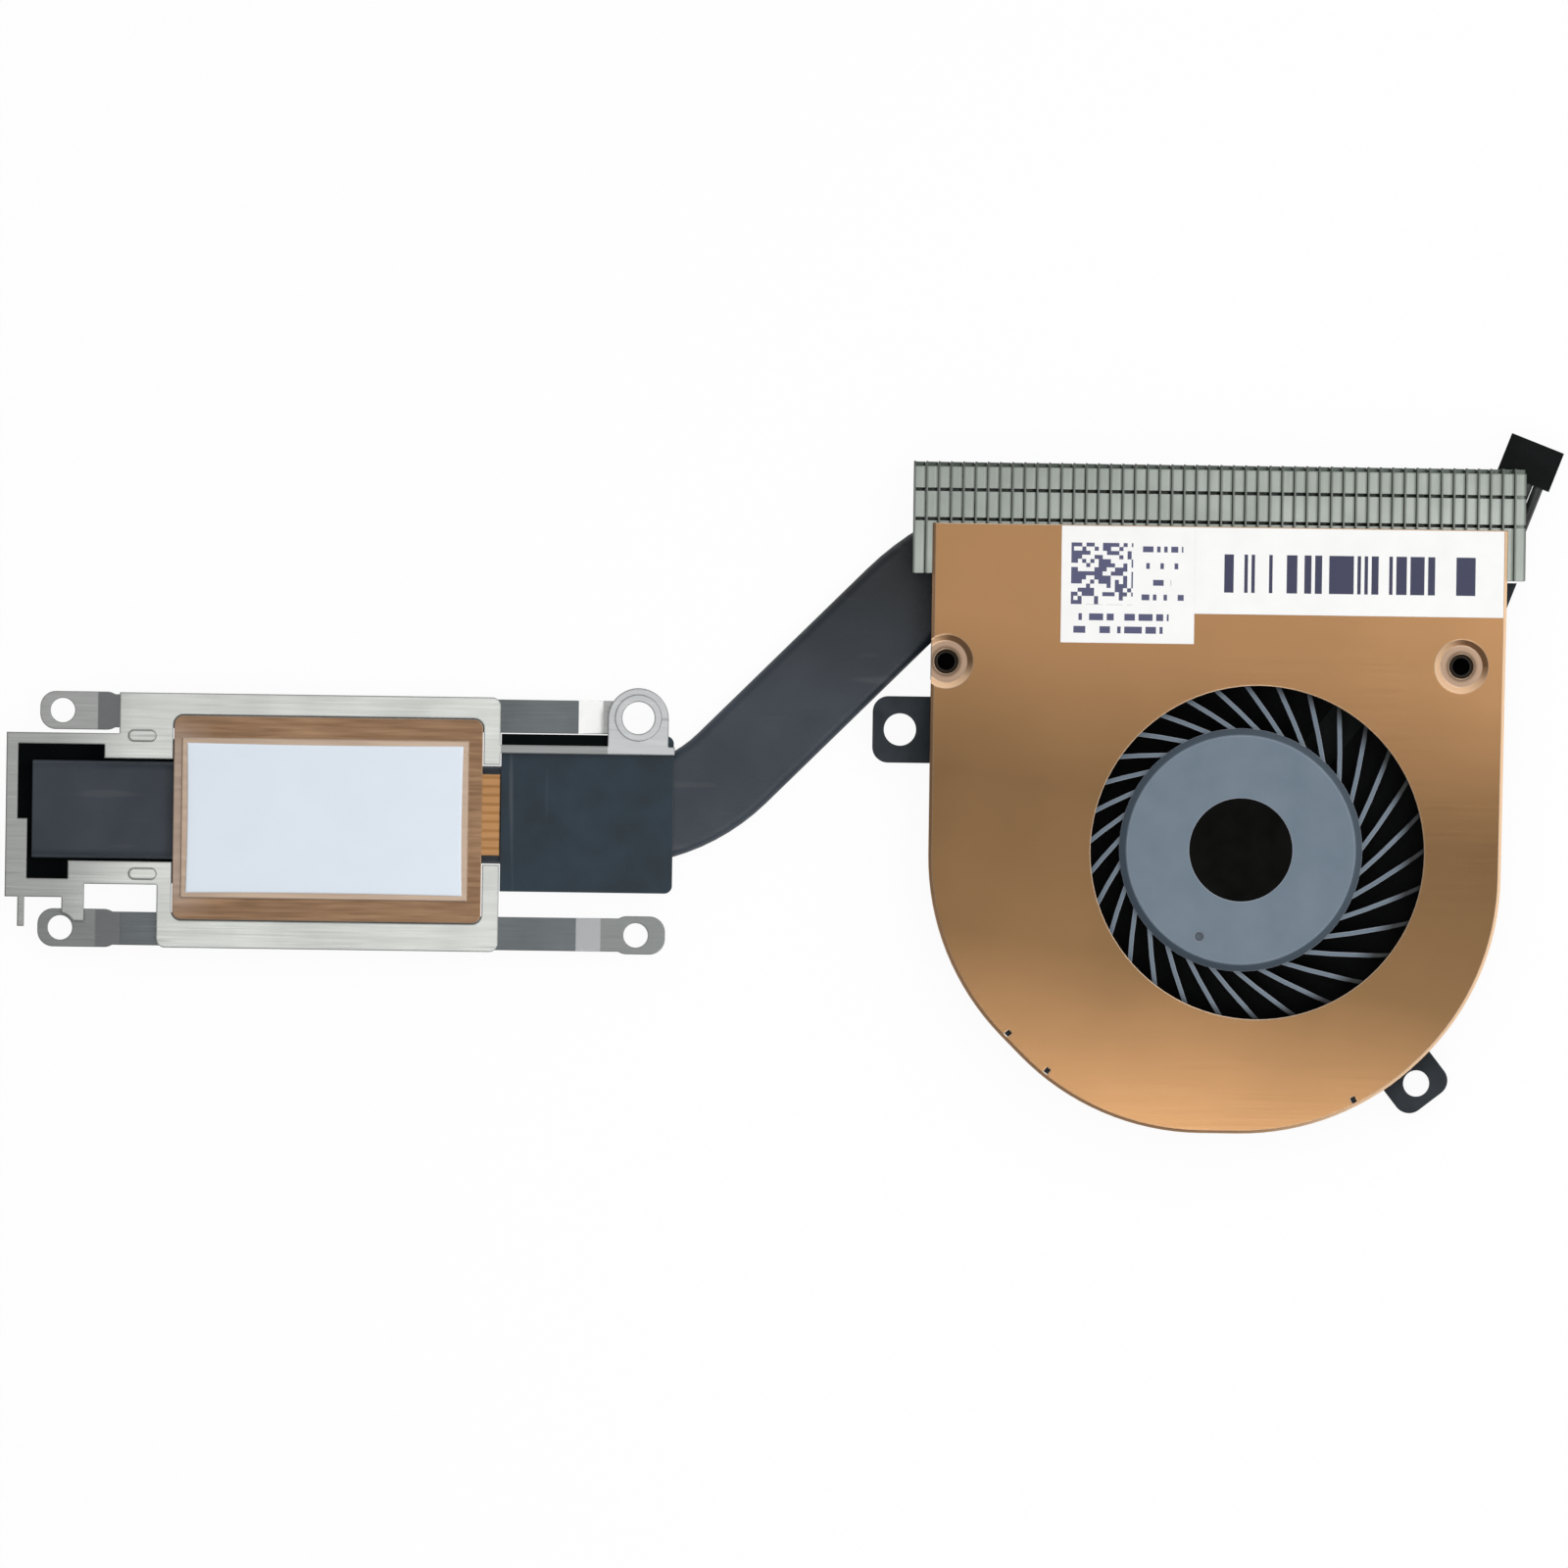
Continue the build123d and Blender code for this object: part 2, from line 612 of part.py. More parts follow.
def insulating_film():
    """Black film behind the frame's well, and a strip of it on the dark plate beside the frame's strip."""
    well = span(EXT_LEFT + FILM_MARGIN, WINDOW_LEFT + FILM_OVERLAP, FILM_BOTTOM, EXT_TOP - FILM_MARGIN)
    strip_top = STRIP_V + STRIP_W / 2 + FIT
    beside = span(PLATE_LEFT, HOLE_U - TAB_W / 2 - FIT, strip_top, ARM_IN - PLATE_GAP)
    return [BRACKET * slab(well, 0, FILM_T), BRACKET * slab(beside, PLATE_TOP, PLATE_TOP + FILM_T)]


def copper_outline(margin):
    """Cold plate outline with an even margin, without its tongue."""
    corner = COPPER_CORNER_R + margin
    return Pos(COPPER_U, COPPER_V) * RectangleRounded(COPPER_W + 2 * margin, COPPER_H + 2 * margin, corner)


def cold_plate():
    """Copper plate on the pipe, with a tongue through the frame and a raised land for the pad."""
    tongue = span(COPPER_U, COPPER_RIGHT + TONGUE_REACH, PIPE_V - TONGUE_LEN / 2, PIPE_V + TONGUE_LEN / 2)
    plate = slab(copper_outline(0) + tongue, PIPE_TOP, COPPER_TOP)
    inner = ARM_IN - REBATE_GAP
    for sign in (-1, 1):
        band = span(-BIG, BIG, min(sign * inner, sign * BIG), max(sign * inner, sign * BIG))
        plate -= slab(band, PIPE_TOP, PLATE_TOP)
    land = Pos(PAD_U, COPPER_V) * Rectangle(PAD_PLAN_W + 2 * LAND_EDGE, PAD_PLAN_H + 2 * LAND_EDGE)
    return BRACKET * (plate + slab(land, COPPER_TOP, LAND_TOP))


def thermal_pad():
    """Soft pale pad on the cold plate's land."""
    face = Pos(PAD_U, COPPER_V) * Rectangle(PAD_PLAN_W, PAD_PLAN_H)
    return BRACKET * slab(face, LAND_TOP, LAND_TOP + PAD_T)


def frame_outline():
    """Plan of the nickelled frame with its extension, strip and tab."""
    half = FRAME_H / 2
    main_left = WINDOW_LEFT - SHOULDER_LOW
    main = RectangleRounded(FRAME_RIGHT - main_left, FRAME_H, FRAME_CORNER_R)
    face = Pos((main_left + FRAME_RIGHT) / 2, 0) * main
    face += span(WINDOW_LEFT - SHOULDER_UP, WINDOW_RIGHT, EXT_TOP, half)
    face += span(EXT_LEFT, WINDOW_RIGHT, SLOT_TOP, EXT_TOP)
    slot_right = main_left
    finger_right = slot_right - SLOT_LEN
    face += span(EXT_LEFT, finger_right, EXT_BOTTOM, EXT_TOP)
    face += span(finger_right - FINGER_W, finger_right, FINGER_END, EXT_TOP)
    face += span(EXT_LEFT + LUG_X, EXT_LEFT + LUG_X + LUG_W, LUG_END, EXT_BOTTOM)
    strip_right = FRAME_RIGHT + STRIP_LEN
    face += span(WINDOW_RIGHT, strip_right, STRIP_V - STRIP_W / 2, STRIP_V + STRIP_W / 2)
    arch_v = HOLE_V + TAB_RISE - TAB_W / 2
    tab = span(HOLE_U - TAB_W / 2, HOLE_U + TAB_W / 2, STRIP_V - STRIP_W / 2, arch_v)
    tab += Pos(HOLE_U, arch_v) * Circle(TAB_W / 2)
    return face + tab


def frame_openings():
    """Cut-outs of the frame: plate window, pipe well, tongue slot and screw clearances."""
    side = PIPE_W / 2 + PIPE_SIDE_GAP
    well_left = EXT_LEFT + EXT_RAIL
    well_step = well_left + WELL_STEP
    pipe_low = PIPE_V - side
    cut = copper_outline(WINDOW_GAP)
    cut += span(well_step, COPPER_U, pipe_low, PIPE_V + side)
    cut += span(well_left, well_left + WELL_TOP_LEN, 0, EXT_TOP - EXT_BAR)
    cut += span(well_step, well_step + WELL_LOW_LEN, pipe_low - WELL_LOW_DROP, PIPE_V)
    slot = TONGUE_LEN / 2 + RAIL_NOTCH
    cut += span(COPPER_U, FRAME_RIGHT + RAIL_W, PIPE_V - slot, PIPE_V + slot)
    cut += Pos(HOLE_U, HOLE_V) * Circle(EYELET_BORE_R + EYELET_WALL + FIT)
    return cut + Pos(-HOLE_U, -HOLE_V) * Circle(ARM_HOLE_R + PIPE_SIDE_GAP)


def mounting_frame():
    """Nickelled steel frame round the cold plate, stamped in one piece."""
    frame = slab(frame_outline() - frame_openings(), PLATE_TOP, FRAME_TOP)
    for place in (BUMP_UP, BUMP_LOW):
        bump = Pos(*place) * SlotOverall(BUMP_L, BUMP_W)
        frame += slab(bump, FRAME_TOP - BUMP_H, FRAME_TOP + BUMP_H)
    return BRACKET * frame


def spring_arm(side, right_ear, right_hole_r):
    """Leaf spring under one edge of the plate: flat middle, stepped ends with screw holes."""
    flat = ARM_FLAT / 2
    foot = flat + ARM_SLOPE
    left = HOLE_U + ARM_EAR_LEFT
    right = HOLE_U + ARM_EAR_RIGHT
    low = PLATE_TOP - ARM_STEP
    line = [(-left, low), (-foot, low), (-flat, PLATE_TOP), (flat, PLATE_TOP), (foot, low), (right, low)]
    under = [(u, height - ARM_T) for u, height in reversed(line)]
    profile = make_face(Plane.XZ * Polyline(*(line + under), close=True))
    bar = extrude(profile, TAB_W, both=True)
    plan = span(-foot, HOLE_U, -ARM_W / 2, ARM_W / 2)
    plan += Pos(-(left + flat) / 2, 0) * RectangleRounded(left - flat, ARM_EAR_W, ARM_CORNER_R)
    plan += Pos(HOLE_U, 0) * right_ear
    plan -= Pos(-HOLE_U, 0) * Circle(ARM_HOLE_R)
    plan -= Pos(HOLE_U, 0) * Circle(right_hole_r)
    return BRACKET * Pos(0, side * HOLE_V, 0) * (bar & slab(plan, low - 2 * ARM_T, PLATE_TOP))


def upper_spring_arm():
    """Arm whose right end is held by the eyelet in the frame's tab."""
    hole_r = EYELET_BORE_R + EYELET_WALL + FIT
    return spring_arm(1, Circle(hole_r + EYELET_EAR_RIM), hole_r)


def lower_spring_arm():
    """Arm with a plain screw hole at each end."""
    length = ARM_SLOPE + ARM_EAR_RIGHT
    ear = Pos(ARM_EAR_RIGHT - length / 2, 0) * RectangleRounded(length, ARM_EAR_W, ARM_CORNER_R)
    return spring_arm(-1, ear, ARM_HOLE_R)


def tab_eyelet():
    """Flanged eyelet through the tab and the arm below it."""
    outer = EYELET_BORE_R + EYELET_WALL
    low = PLATE_TOP - ARM_STEP - ARM_T
    tube = slab(Circle(outer), low, FRAME_TOP)
    tube += slab(Circle(outer + EYELET_FLANGE), FRAME_TOP, FRAME_TOP + EYELET_FLANGE_T)
    tube -= slab(Circle(EYELET_BORE_R), low, FRAME_TOP + EYELET_FLANGE_T)
    return BRACKET * Pos(HOLE_U, HOLE_V, 0) * tube


def pipe_plate():
    """Dark painted plate on the pipe beside the cold plate."""
    face = span(PLATE_LEFT, PLATE_LEFT + PLATE_LEN, PLATE_BOTTOM, ARM_IN - PLATE_GAP)
    face = fillet(face.vertices().group_by(Axis.X)[-1], PLATE_CORNER_R)
    face -= Pos(HOLE_U, HOLE_V) * Circle(EYELET_BORE_R + EYELET_WALL + PLATE_GAP)
    return BRACKET * slab(face, PIPE_TOP, PLATE_TOP)


def cover_label(left, width, height):
    """Paper label along the cover's front edge."""
    top = COVER_FRONT_Y - LABEL_EDGE
    return slab(span(left, left + width, top - height, top), FAN_H, FAN_H + LABEL_T)


parts = {
    "fan_housing": fan_housing(),
    "fan_cover": fan_cover(),
    "impeller": impeller(),
    "hub_cap": hub_cap(),
    "rotor_yoke": rotor_yoke(),
    "rotor_magnet": rotor_magnet(),
    "rotor_shaft": rotor_shaft(),
    "bearing_tube": bearing_tube(),
    "sleeve_bearing": sleeve_bearing(),
    "retaining_washer": retaining_washer(),
    "thrust_pad": thrust_pad(),
    "stator_core": stator_core(),
    "stator_coils": stator_coils(),
    "motor_board": motor_board(),
    "fan_wires": fan_wires(),
    "connector_housing": connector_housing(),
    "connector_contacts": connector_contacts(),
    "fin_stack": fin_stack(),
    "heat_pipe": heat_pipe(),
    "insulating_film": insulating_film(),
    "cold_plate": cold_plate(),
    "thermal_pad": thermal_pad(),
    "mounting_frame": mounting_frame(),
    "upper_spring_arm": upper_spring_arm(),
    "lower_spring_arm": lower_spring_arm(),
    "tab_eyelet": tab_eyelet(),
    "pipe_plate": pipe_plate(),
    "label_small": cover_label(SMALL_LABEL_X, SMALL_LABEL_W, SMALL_LABEL_H),
    "label_long": cover_label(LONG_LABEL_X, LONG_LABEL_W, LONG_LABEL_H),
}

os.makedirs("parts", exist_ok=True)
for name, shape in parts.items():
    solids = shape if isinstance(shape, list) else [shape]
    group = Compound([solid for piece in solids for solid in piece.solids()])
    export_step(group, os.path.join("parts", name + ".step"))
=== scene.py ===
import math

import bmesh
import bpy
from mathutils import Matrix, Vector, noise


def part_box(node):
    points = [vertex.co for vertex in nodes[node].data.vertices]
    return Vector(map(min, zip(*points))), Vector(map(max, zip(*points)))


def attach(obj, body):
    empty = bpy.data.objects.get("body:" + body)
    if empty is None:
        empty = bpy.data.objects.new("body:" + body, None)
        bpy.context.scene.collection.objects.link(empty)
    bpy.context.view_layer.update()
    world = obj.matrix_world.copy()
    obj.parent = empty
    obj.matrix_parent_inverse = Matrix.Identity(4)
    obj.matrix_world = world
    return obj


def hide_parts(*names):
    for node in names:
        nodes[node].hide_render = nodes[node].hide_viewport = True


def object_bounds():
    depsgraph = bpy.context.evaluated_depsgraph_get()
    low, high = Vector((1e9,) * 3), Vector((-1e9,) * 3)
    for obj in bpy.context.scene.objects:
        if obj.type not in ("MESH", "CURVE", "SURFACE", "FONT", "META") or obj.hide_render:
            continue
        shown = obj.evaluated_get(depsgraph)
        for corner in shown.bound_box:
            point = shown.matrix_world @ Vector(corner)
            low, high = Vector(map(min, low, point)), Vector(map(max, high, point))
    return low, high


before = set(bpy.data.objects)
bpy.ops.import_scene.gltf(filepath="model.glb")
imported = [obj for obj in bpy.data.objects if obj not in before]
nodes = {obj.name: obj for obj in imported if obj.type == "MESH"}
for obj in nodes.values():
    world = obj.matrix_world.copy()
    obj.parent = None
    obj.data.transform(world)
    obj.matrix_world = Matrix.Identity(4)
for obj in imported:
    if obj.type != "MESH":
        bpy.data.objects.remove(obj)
cad_low, cad_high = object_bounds()

# Studio: a pale table in a white room that is dimmer overhead and to one side, with three soft lamps.
# The camera looks straight down through a long lens, turned a little, and takes in the whole module.
# The table is white to the camera and to polished faces, and still takes a soft shadow.
MM = 0.001
VIEW_W = 160 * MM
VIEW_Z = 3.5 * MM
VIEW_SHIFT = Vector((0.1, -0.95, 0)) * MM
VIEW_TURN = math.radians(0.8)
CAMERA_H = 2.0
SENSOR_W = 36.0
TABLE_W = 3.0
TABLE_GAP = 0.02 * MM
TABLE_TINT = (0.90, 0.90, 0.90, 1)
TABLE_GLOW = 0.94
WHITE = (1, 1, 1, 1)
ROOM_LIGHT = 0.72
BRIGHT_SIDE = (0.75, 0.66, 0.0)
SIDE_SPAN = (-0.7, 0.7)
SIDE_TONES = (0.22, 1.0)
MATT_SPAN = (-1.0, 1.0)
MATT_TONES = (0.4, 1.6)
WALL_RISE = (0.2, 0.95)
ZENITH_TONE = 0.32
# Each lamp's place, the point it is turned to, its width and its power
LAMPS = {
    "far_lamp": (Vector((48, 70, 160)) * MM, Vector((10, 22, 6)) * MM, 90 * MM, 0.048),
    "near_lamp": (Vector((12, -68, 150)) * MM, Vector((4, -22, 6)) * MM, 90 * MM, 0.055),
    "side_lamp": (Vector((-78, 4, 280)) * MM, Vector((-86, 2, 3)) * MM, 160 * MM, 0.056),
}


def add_object(name, data):
    """New object in the scene, with the given camera, lamp or mesh."""
    thing = bpy.data.objects.new(name, data)
    bpy.context.scene.collection.objects.link(thing)
    return thing


def set_sockets(tree, node, sockets):
    """Sets each named socket of a node to a value, or links it from another node's socket."""
    for name, value in sockets.items():
        if isinstance(value, bpy.types.NodeSocket):
            tree.links.new(value, node.inputs[name])
        else:
            node.inputs[name].default_value = value


def place(tree, kind, sockets, **settings):
    """Adds a shader node with its settings and sockets."""
    node = tree.nodes.new("ShaderNode" + kind)
    for name, value in settings.items():
        setattr(node, name, value)
    set_sockets(tree, node, sockets)
    return node


def reckon(tree, operation, first, second=0.0):
    """Result of one sum on two values."""
    return place(tree, "Math", {0: first, 1: second}, operation=operation).outputs[0]


def reckon_vector(tree, operation, first, second=(0, 0, 0)):
    """Results, Vector and Value, of one sum on two vectors."""
    return place(tree, "VectorMath", {0: first, 1: second}, operation=operation).outputs


def ramp(tree, value, start, end, low=0.0, high=1.0):
    """Value stretched from one span to another, held at both ends."""
    sockets = {"Value": value, "From Min": start, "From Max": end, "To Min": low, "To Max": high}
    return place(tree, "MapRange", sockets).outputs[0]


def mix_value(tree, mask, low, high):
    """Value that goes from one number to another with a mask."""
    return ramp(tree, mask, 0.0, 1.0, low, high)


def seen_rays(tree):
    """Masks of rays from the camera, of rays that a polished or clear face sends on, and of both."""
    rays = place(tree, "LightPath", {}).outputs
    mirrored = reckon(tree, "MAXIMUM", rays["Is Glossy Ray"], rays["Is Transmission Ray"])
    return rays["Is Camera Ray"], mirrored, reckon(tree, "MAXIMUM", rays["Is Camera Ray"], mirrored)


camera = add_object("camera", bpy.data.cameras.new("camera"))
camera.location = (cad_low + cad_high) / 2 + VIEW_SHIFT
camera.location.z = VIEW_Z + CAMERA_H
camera.rotation_euler = (0, 0, VIEW_TURN)
camera.data.sensor_width = SENSOR_W
camera.data.lens = SENSOR_W * CAMERA_H / VIEW_W
camera.data.clip_end = 2 * CAMERA_H
bpy.context.scene.camera = camera
bpy.context.scene.view_settings.view_transform = "Standard"

room = bpy.data.worlds.new("studio_room")
bpy.context.scene.world = room
room.use_nodes = True
room_tree = room.node_tree
from_camera, mirrored, seen = seen_rays(room_tree)
outward = place(room_tree, "TexCoord", {}).outputs["Generated"]
rise = place(room_tree, "SeparateXYZ", {"Vector": outward}).outputs["Z"]
side = reckon_vector(room_tree, "DOT_PRODUCT", outward, BRIGHT_SIDE)["Value"]
side_tone = ramp(room_tree, side, *SIDE_SPAN, *SIDE_TONES)
wall_tone = ramp(room_tree, rise, *WALL_RISE, side_tone, ZENITH_TONE)
matt_tone = ramp(room_tree, side, *MATT_SPAN, *MATT_TONES)
room_tone = mix_value(room_tree, mirrored, matt_tone, wall_tone)
room_tone = mix_value(room_tree, from_camera, room_tone, 1.0)
room_level = mix_value(room_tree, seen, ROOM_LIGHT, 1.0)
set_sockets(room_tree, room_tree.nodes["Background"], {"Color": room_tone, "Strength": room_level})

for name, (stand, aim, width, power) in LAMPS.items():
    lamp = add_object(name, bpy.data.lights.new(name, "AREA"))
    lamp.location = stand
    lamp.rotation_euler = (aim - stand).to_track_quat("-Z", "Y").to_euler()
    lamp.data.size = width
    lamp.data.energy = power
    lamp.visible_camera = False

table_mesh = bpy.data.meshes.new("table_top")
table_z = cad_low.z - TABLE_GAP
corners = [(x * TABLE_W / 2, y * TABLE_W / 2, table_z) for x, y in ((-1, -1), (1, -1), (1, 1), (-1, 1))]
table_mesh.from_pydata(corners, [], [(0, 1, 2, 3)])
table_top = add_object("table_top", table_mesh)
table_finish = bpy.data.materials.new("pale_table")
table_finish.use_nodes = True
table_tree = table_finish.node_tree
glow_share = reckon(table_tree, "MULTIPLY", seen_rays(table_tree)[-1], TABLE_GLOW)
matt = place(table_tree, "BsdfDiffuse", {"Color": TABLE_TINT}).outputs[0]
glow = place(table_tree, "Emission", {"Color": WHITE, "Strength": 1.0}).outputs[0]
table_look = place(table_tree, "MixShader", {0: glow_share, 1: matt, 2: glow}).outputs[0]
set_sockets(table_tree, table_tree.nodes["Material Output"], {"Surface": table_look})
table_mesh.materials.append(table_finish)

# Fan case: the black moulded tray that the motor stands in, with its ears, bosses and spiral wall.
# Glass-filled plastic with a fine spark-eroded grain, a little paler where its edges are handled; the floor
# inside the blower is painted near-black as shade, and the boss tops are painted brown as reflected copper
# light.
# It is moulded in one shot, and everything else of the blower is fixed to it.
CASE_DARK = (0.0235, 0.0285, 0.0330, 1)
CASE_PALE = (0.0360, 0.0430, 0.0500, 1)
CASE_WORN = (0.060, 0.064, 0.070, 1)
# Painted shade: the floor inside the blower is near-black
CASE_FLOOR_SHADE = (0.0018, 0.0022, 0.0026, 1)
CASE_FLOOR_Z = (0.5 * MM, 1.3 * MM)
# Painted reflection: the boss tops under the cover's dish holes are brown with copper light
CASE_BOSS_REFLECTION = (0.026, 0.017, 0.009, 1)
CASE_BOSS_Z = (5.5 * MM, 5.7 * MM)
CASE_EDGE = 0.18 * MM
CASE_GRAIN = 9000.0
CASE_SHINE = 0.08
CASE_ROUGH = (0.42, 0.62)
CASE_RELIEF = (0.03 * MM, 0.35)
EDGE_RAYS = 6
EDGE_TURN = (0.995, 0.90)
GRAIN_DETAIL = 2.0
GRAIN_SPAN = (0.3, 0.7)
CLOUD_SIZE = 26.0
CLOUD_DETAIL = 3.0


def surface(name, *pieces):
    """New material on the given pieces; gives its node tree and its Principled shader."""
    finish = bpy.data.materials.new(name)
    finish.use_nodes = True
    for piece in pieces:
        piece.data.materials.clear()
        piece.data.materials.append(finish)
    return finish.node_tree, finish.node_tree.nodes["Principled BSDF"]


def mix_tint(tree, mask, low, high):
    """Colour that goes from one tint to another with a mask."""
    return place(tree, "Mix", {0: mask, 6: low, 7: high}, data_type="RGBA").outputs[2]


def start_group(name, inputs, outputs):
    """Empty shader node group; gives its tree, the sockets it takes in and those it puts out."""
    tree = bpy.data.node_groups.new(name, "ShaderNodeTree")
    for socket, value in inputs.items():
        kind = "NodeSocketFloat" if isinstance(value, float) else "NodeSocketVector"
        tree.interface.new_socket(socket, in_out="INPUT", socket_type=kind).default_value = value
    for socket, kind in outputs.items():
        tree.interface.new_socket(socket, in_out="OUTPUT", socket_type="NodeSocket" + kind)
    return tree, tree.nodes.new("NodeGroupInput").outputs, tree.nodes.new("NodeGroupOutput")


def place_group(tree, group, **sockets):
    """Puts a node group into a material and gives what it puts out."""
    return place(tree, "Group", sockets, node_tree=group).outputs


def part_spot(tree):
    """Place of a point in the part's own frame, in metres."""
    return place(tree, "TexCoord", {}).outputs["Object"]


def part_axes(tree):
    """X, Y and Z of a point in the part's own frame, in metres."""
    return place(tree, "SeparateXYZ", {"Vector": part_spot(tree)}).outputs


def within(tree, value, low, high):
    """Mask of where a value lies between two bounds."""
    above = reckon(tree, "GREATER_THAN", value, low)
    return reckon(tree, "MULTIPLY", above, reckon(tree, "LESS_THAN", value, high))


def soft_noise(tree, spot, scale, detail):
    """Noise about a half, which changes smoothly from place to place."""
    return place(tree, "TexNoise", {"Vector": spot, "Scale": scale, "Detail": detail}).outputs[0]


def roughness(tree, fine, smooth, dull):
    """Roughness between two values that follows a fine noise."""
    return ramp(tree, fine, *GRAIN_SPAN, smooth, dull)


def bump(tree, height, normal, depth, strength):
    """Surface normal with a fine relief of a given depth and strength."""
    sockets = {"Height": height, "Distance": depth, "Strength": strength, "Normal": normal}
    return place(tree, "Bump", sockets).outputs[0]


# Rounded corners of every rigid piece, and a mask of where they are
soft_edge, takes, gives = start_group(
    "soft_edge", {"Radius": CASE_EDGE}, {"Normal": "Vector", "Edge": "Float"}
)
rounded = place(soft_edge, "Bevel", {"Radius": takes["Radius"]}, samples=EDGE_RAYS).outputs[0]
flat = place(soft_edge, "NewGeometry", {}).outputs["Normal"]
facing = reckon_vector(soft_edge, "DOT_PRODUCT", rounded, flat)["Value"]
set_sockets(soft_edge, gives, {"Normal": rounded, "Edge": ramp(soft_edge, facing, *EDGE_TURN)})

# Fine grain and slow clouding of a surface, in the piece's own place
grain, takes, gives = start_group("grain", {"Scale": CASE_GRAIN}, {"Fine": "Float", "Cloud": "Float"})
spot = part_spot(grain)
cloud_scale = reckon(grain, "DIVIDE", takes["Scale"], CLOUD_SIZE)
cloud = soft_noise(grain, spot, cloud_scale, CLOUD_DETAIL)
set_sockets(grain, gives, {
    "Fine": soft_noise(grain, spot, takes["Scale"], GRAIN_DETAIL),
    "Cloud": ramp(grain, cloud, *GRAIN_SPAN),
})

tree, shader = surface("case_plastic", nodes["fan_housing"])
edge = place_group(tree, soft_edge, Radius=CASE_EDGE)
skin = place_group(tree, grain, Scale=CASE_GRAIN)
tint = mix_tint(tree, skin["Cloud"], CASE_DARK, CASE_PALE)
height = part_axes(tree)["Z"]
# Painted shade on the floor and painted copper reflection on the boss tops, each chosen by height
for level, tarnish_and_painted_tone in ((CASE_FLOOR_Z, CASE_FLOOR_SHADE), (CASE_BOSS_Z, CASE_BOSS_REFLECTION)):
    tint = mix_tint(tree, within(tree, height, *level), tint, tarnish_and_painted_tone)
rub = reckon(tree, "MULTIPLY", edge["Edge"], skin["Cloud"])
set_sockets(tree, shader, {
    "Base Color": mix_tint(tree, rub, tint, CASE_WORN),
    "Specular IOR Level": CASE_SHINE,
    "Roughness": roughness(tree, skin["Fine"], *CASE_ROUGH),
    "Normal": bump(tree, skin["Fine"], edge["Normal"], *CASE_RELIEF),
})

# Bearing: a brass tube pressed into the case, with a sintered sleeve, a washer and a foot disc in it.
# Brass and bronze are turned and keep fine rings from the tool; the washer and disc are pale nylon.
# The shaft drops in from above and the washer snaps into its groove.
TURNED = {"bearing_tube": (0.68, 0.48, 0.20, 1), "sleeve_bearing": (0.42, 0.25, 0.13, 1)}
TURNED_PITCH = 0.12 * MM
TURNED_EDGE = 0.08 * MM
TURNED_ROUGH = 0.28
TURNED_RELIEF = (0.01 * MM, 0.4)
TARNISH_SHARE = 0.6
TARNISH_ROUGH = 0.2
TARNISH_SCALE = 420.0
TARNISH_DETAIL = 4.0
TARNISH_SPAN = (0.35, 0.7)
IN_PLAN = (1, 1, 0)
NYLON = {
    "tints": ((0.74, 0.72, 0.66, 1), (0.60, 0.57, 0.50, 1)),
    "radius": 0.05 * MM,
    "scale": 14000.0,
    "rough": (0.35, 0.5),
    "relief": (0.01 * MM, 0.3),
}


def off_axis(tree, spot):
    """Distance of a place from the rotor axis."""
    plan = reckon_vector(tree, "MULTIPLY", spot, IN_PLAN)["Vector"]
    return reckon_vector(tree, "LENGTH", plan)["Value"]


# Rings left by a lathe tool about the rotor axis, with a slow change from place to place
tool_rings, takes, gives = start_group(
    "tool_rings", {"Pitch": TURNED_PITCH}, {"Rings": "Float", "Tarnish": "Float"}
)
spot = part_spot(tool_rings)
height = place(tool_rings, "SeparateXYZ", {"Vector": spot}).outputs["Z"]
run = reckon(tool_rings, "ADD", off_axis(tool_rings, spot), height)
track = reckon(tool_rings, "DIVIDE", run, takes["Pitch"])
rings = place(tool_rings, "TexNoise", {"W": track, "Scale": 1.0}, noise_dimensions="1D").outputs[0]
tarnish_and_painted_tone = soft_noise(tool_rings, spot, TARNISH_SCALE, TARNISH_DETAIL)
set_sockets(tool_rings, gives, {"Rings": rings, "Tarnish": ramp(tool_rings, tarnish_and_painted_tone, *TARNISH_SPAN)})


def turned_metal(name, tint, pieces, rough):
    """Turned metal with tool rings and a darker tarnish of its own tint."""
    tree, shader = surface(name, *pieces)
    turned = place_group(tree, tool_rings, Pitch=TURNED_PITCH)
    edge = place_group(tree, soft_edge, Radius=TURNED_EDGE)
    tarnished = [value * TARNISH_SHARE for value in tint[:3]] + [1]
    set_sockets(tree, shader, {
        "Base Color": mix_tint(tree, turned["Tarnish"], tint, tarnished),
        "Metallic": 1.0,
        "Roughness": mix_value(tree, turned["Tarnish"], rough, rough + TARNISH_ROUGH),
        "Normal": bump(tree, turned["Rings"], edge["Normal"], *TURNED_RELIEF),
    })


def grained(name, pieces, tints, radius, scale, rough, relief):
    """Plain finish with two tints in slow clouds, soft corners and a fine relief; gives its shader."""
    tree, shader = surface(name, *pieces)
    edge = place_group(tree, soft_edge, Radius=radius)
    skin = place_group(tree, grain, Scale=scale)
    set_sockets(tree, shader, {
        "Base Color": mix_tint(tree, skin["Cloud"], *tints),
        "Roughness": roughness(tree, skin["Fine"], *rough),
        "Normal": bump(tree, skin["Fine"], edge["Normal"], *relief),
    })
    return shader


for name, tint in TURNED.items():
    turned_metal(name + "_metal", tint, [nodes[name]], TURNED_ROUGH)
grained("pale_nylon", [nodes["retaining_washer"], nodes["thrust_pad"]], **NYLON)
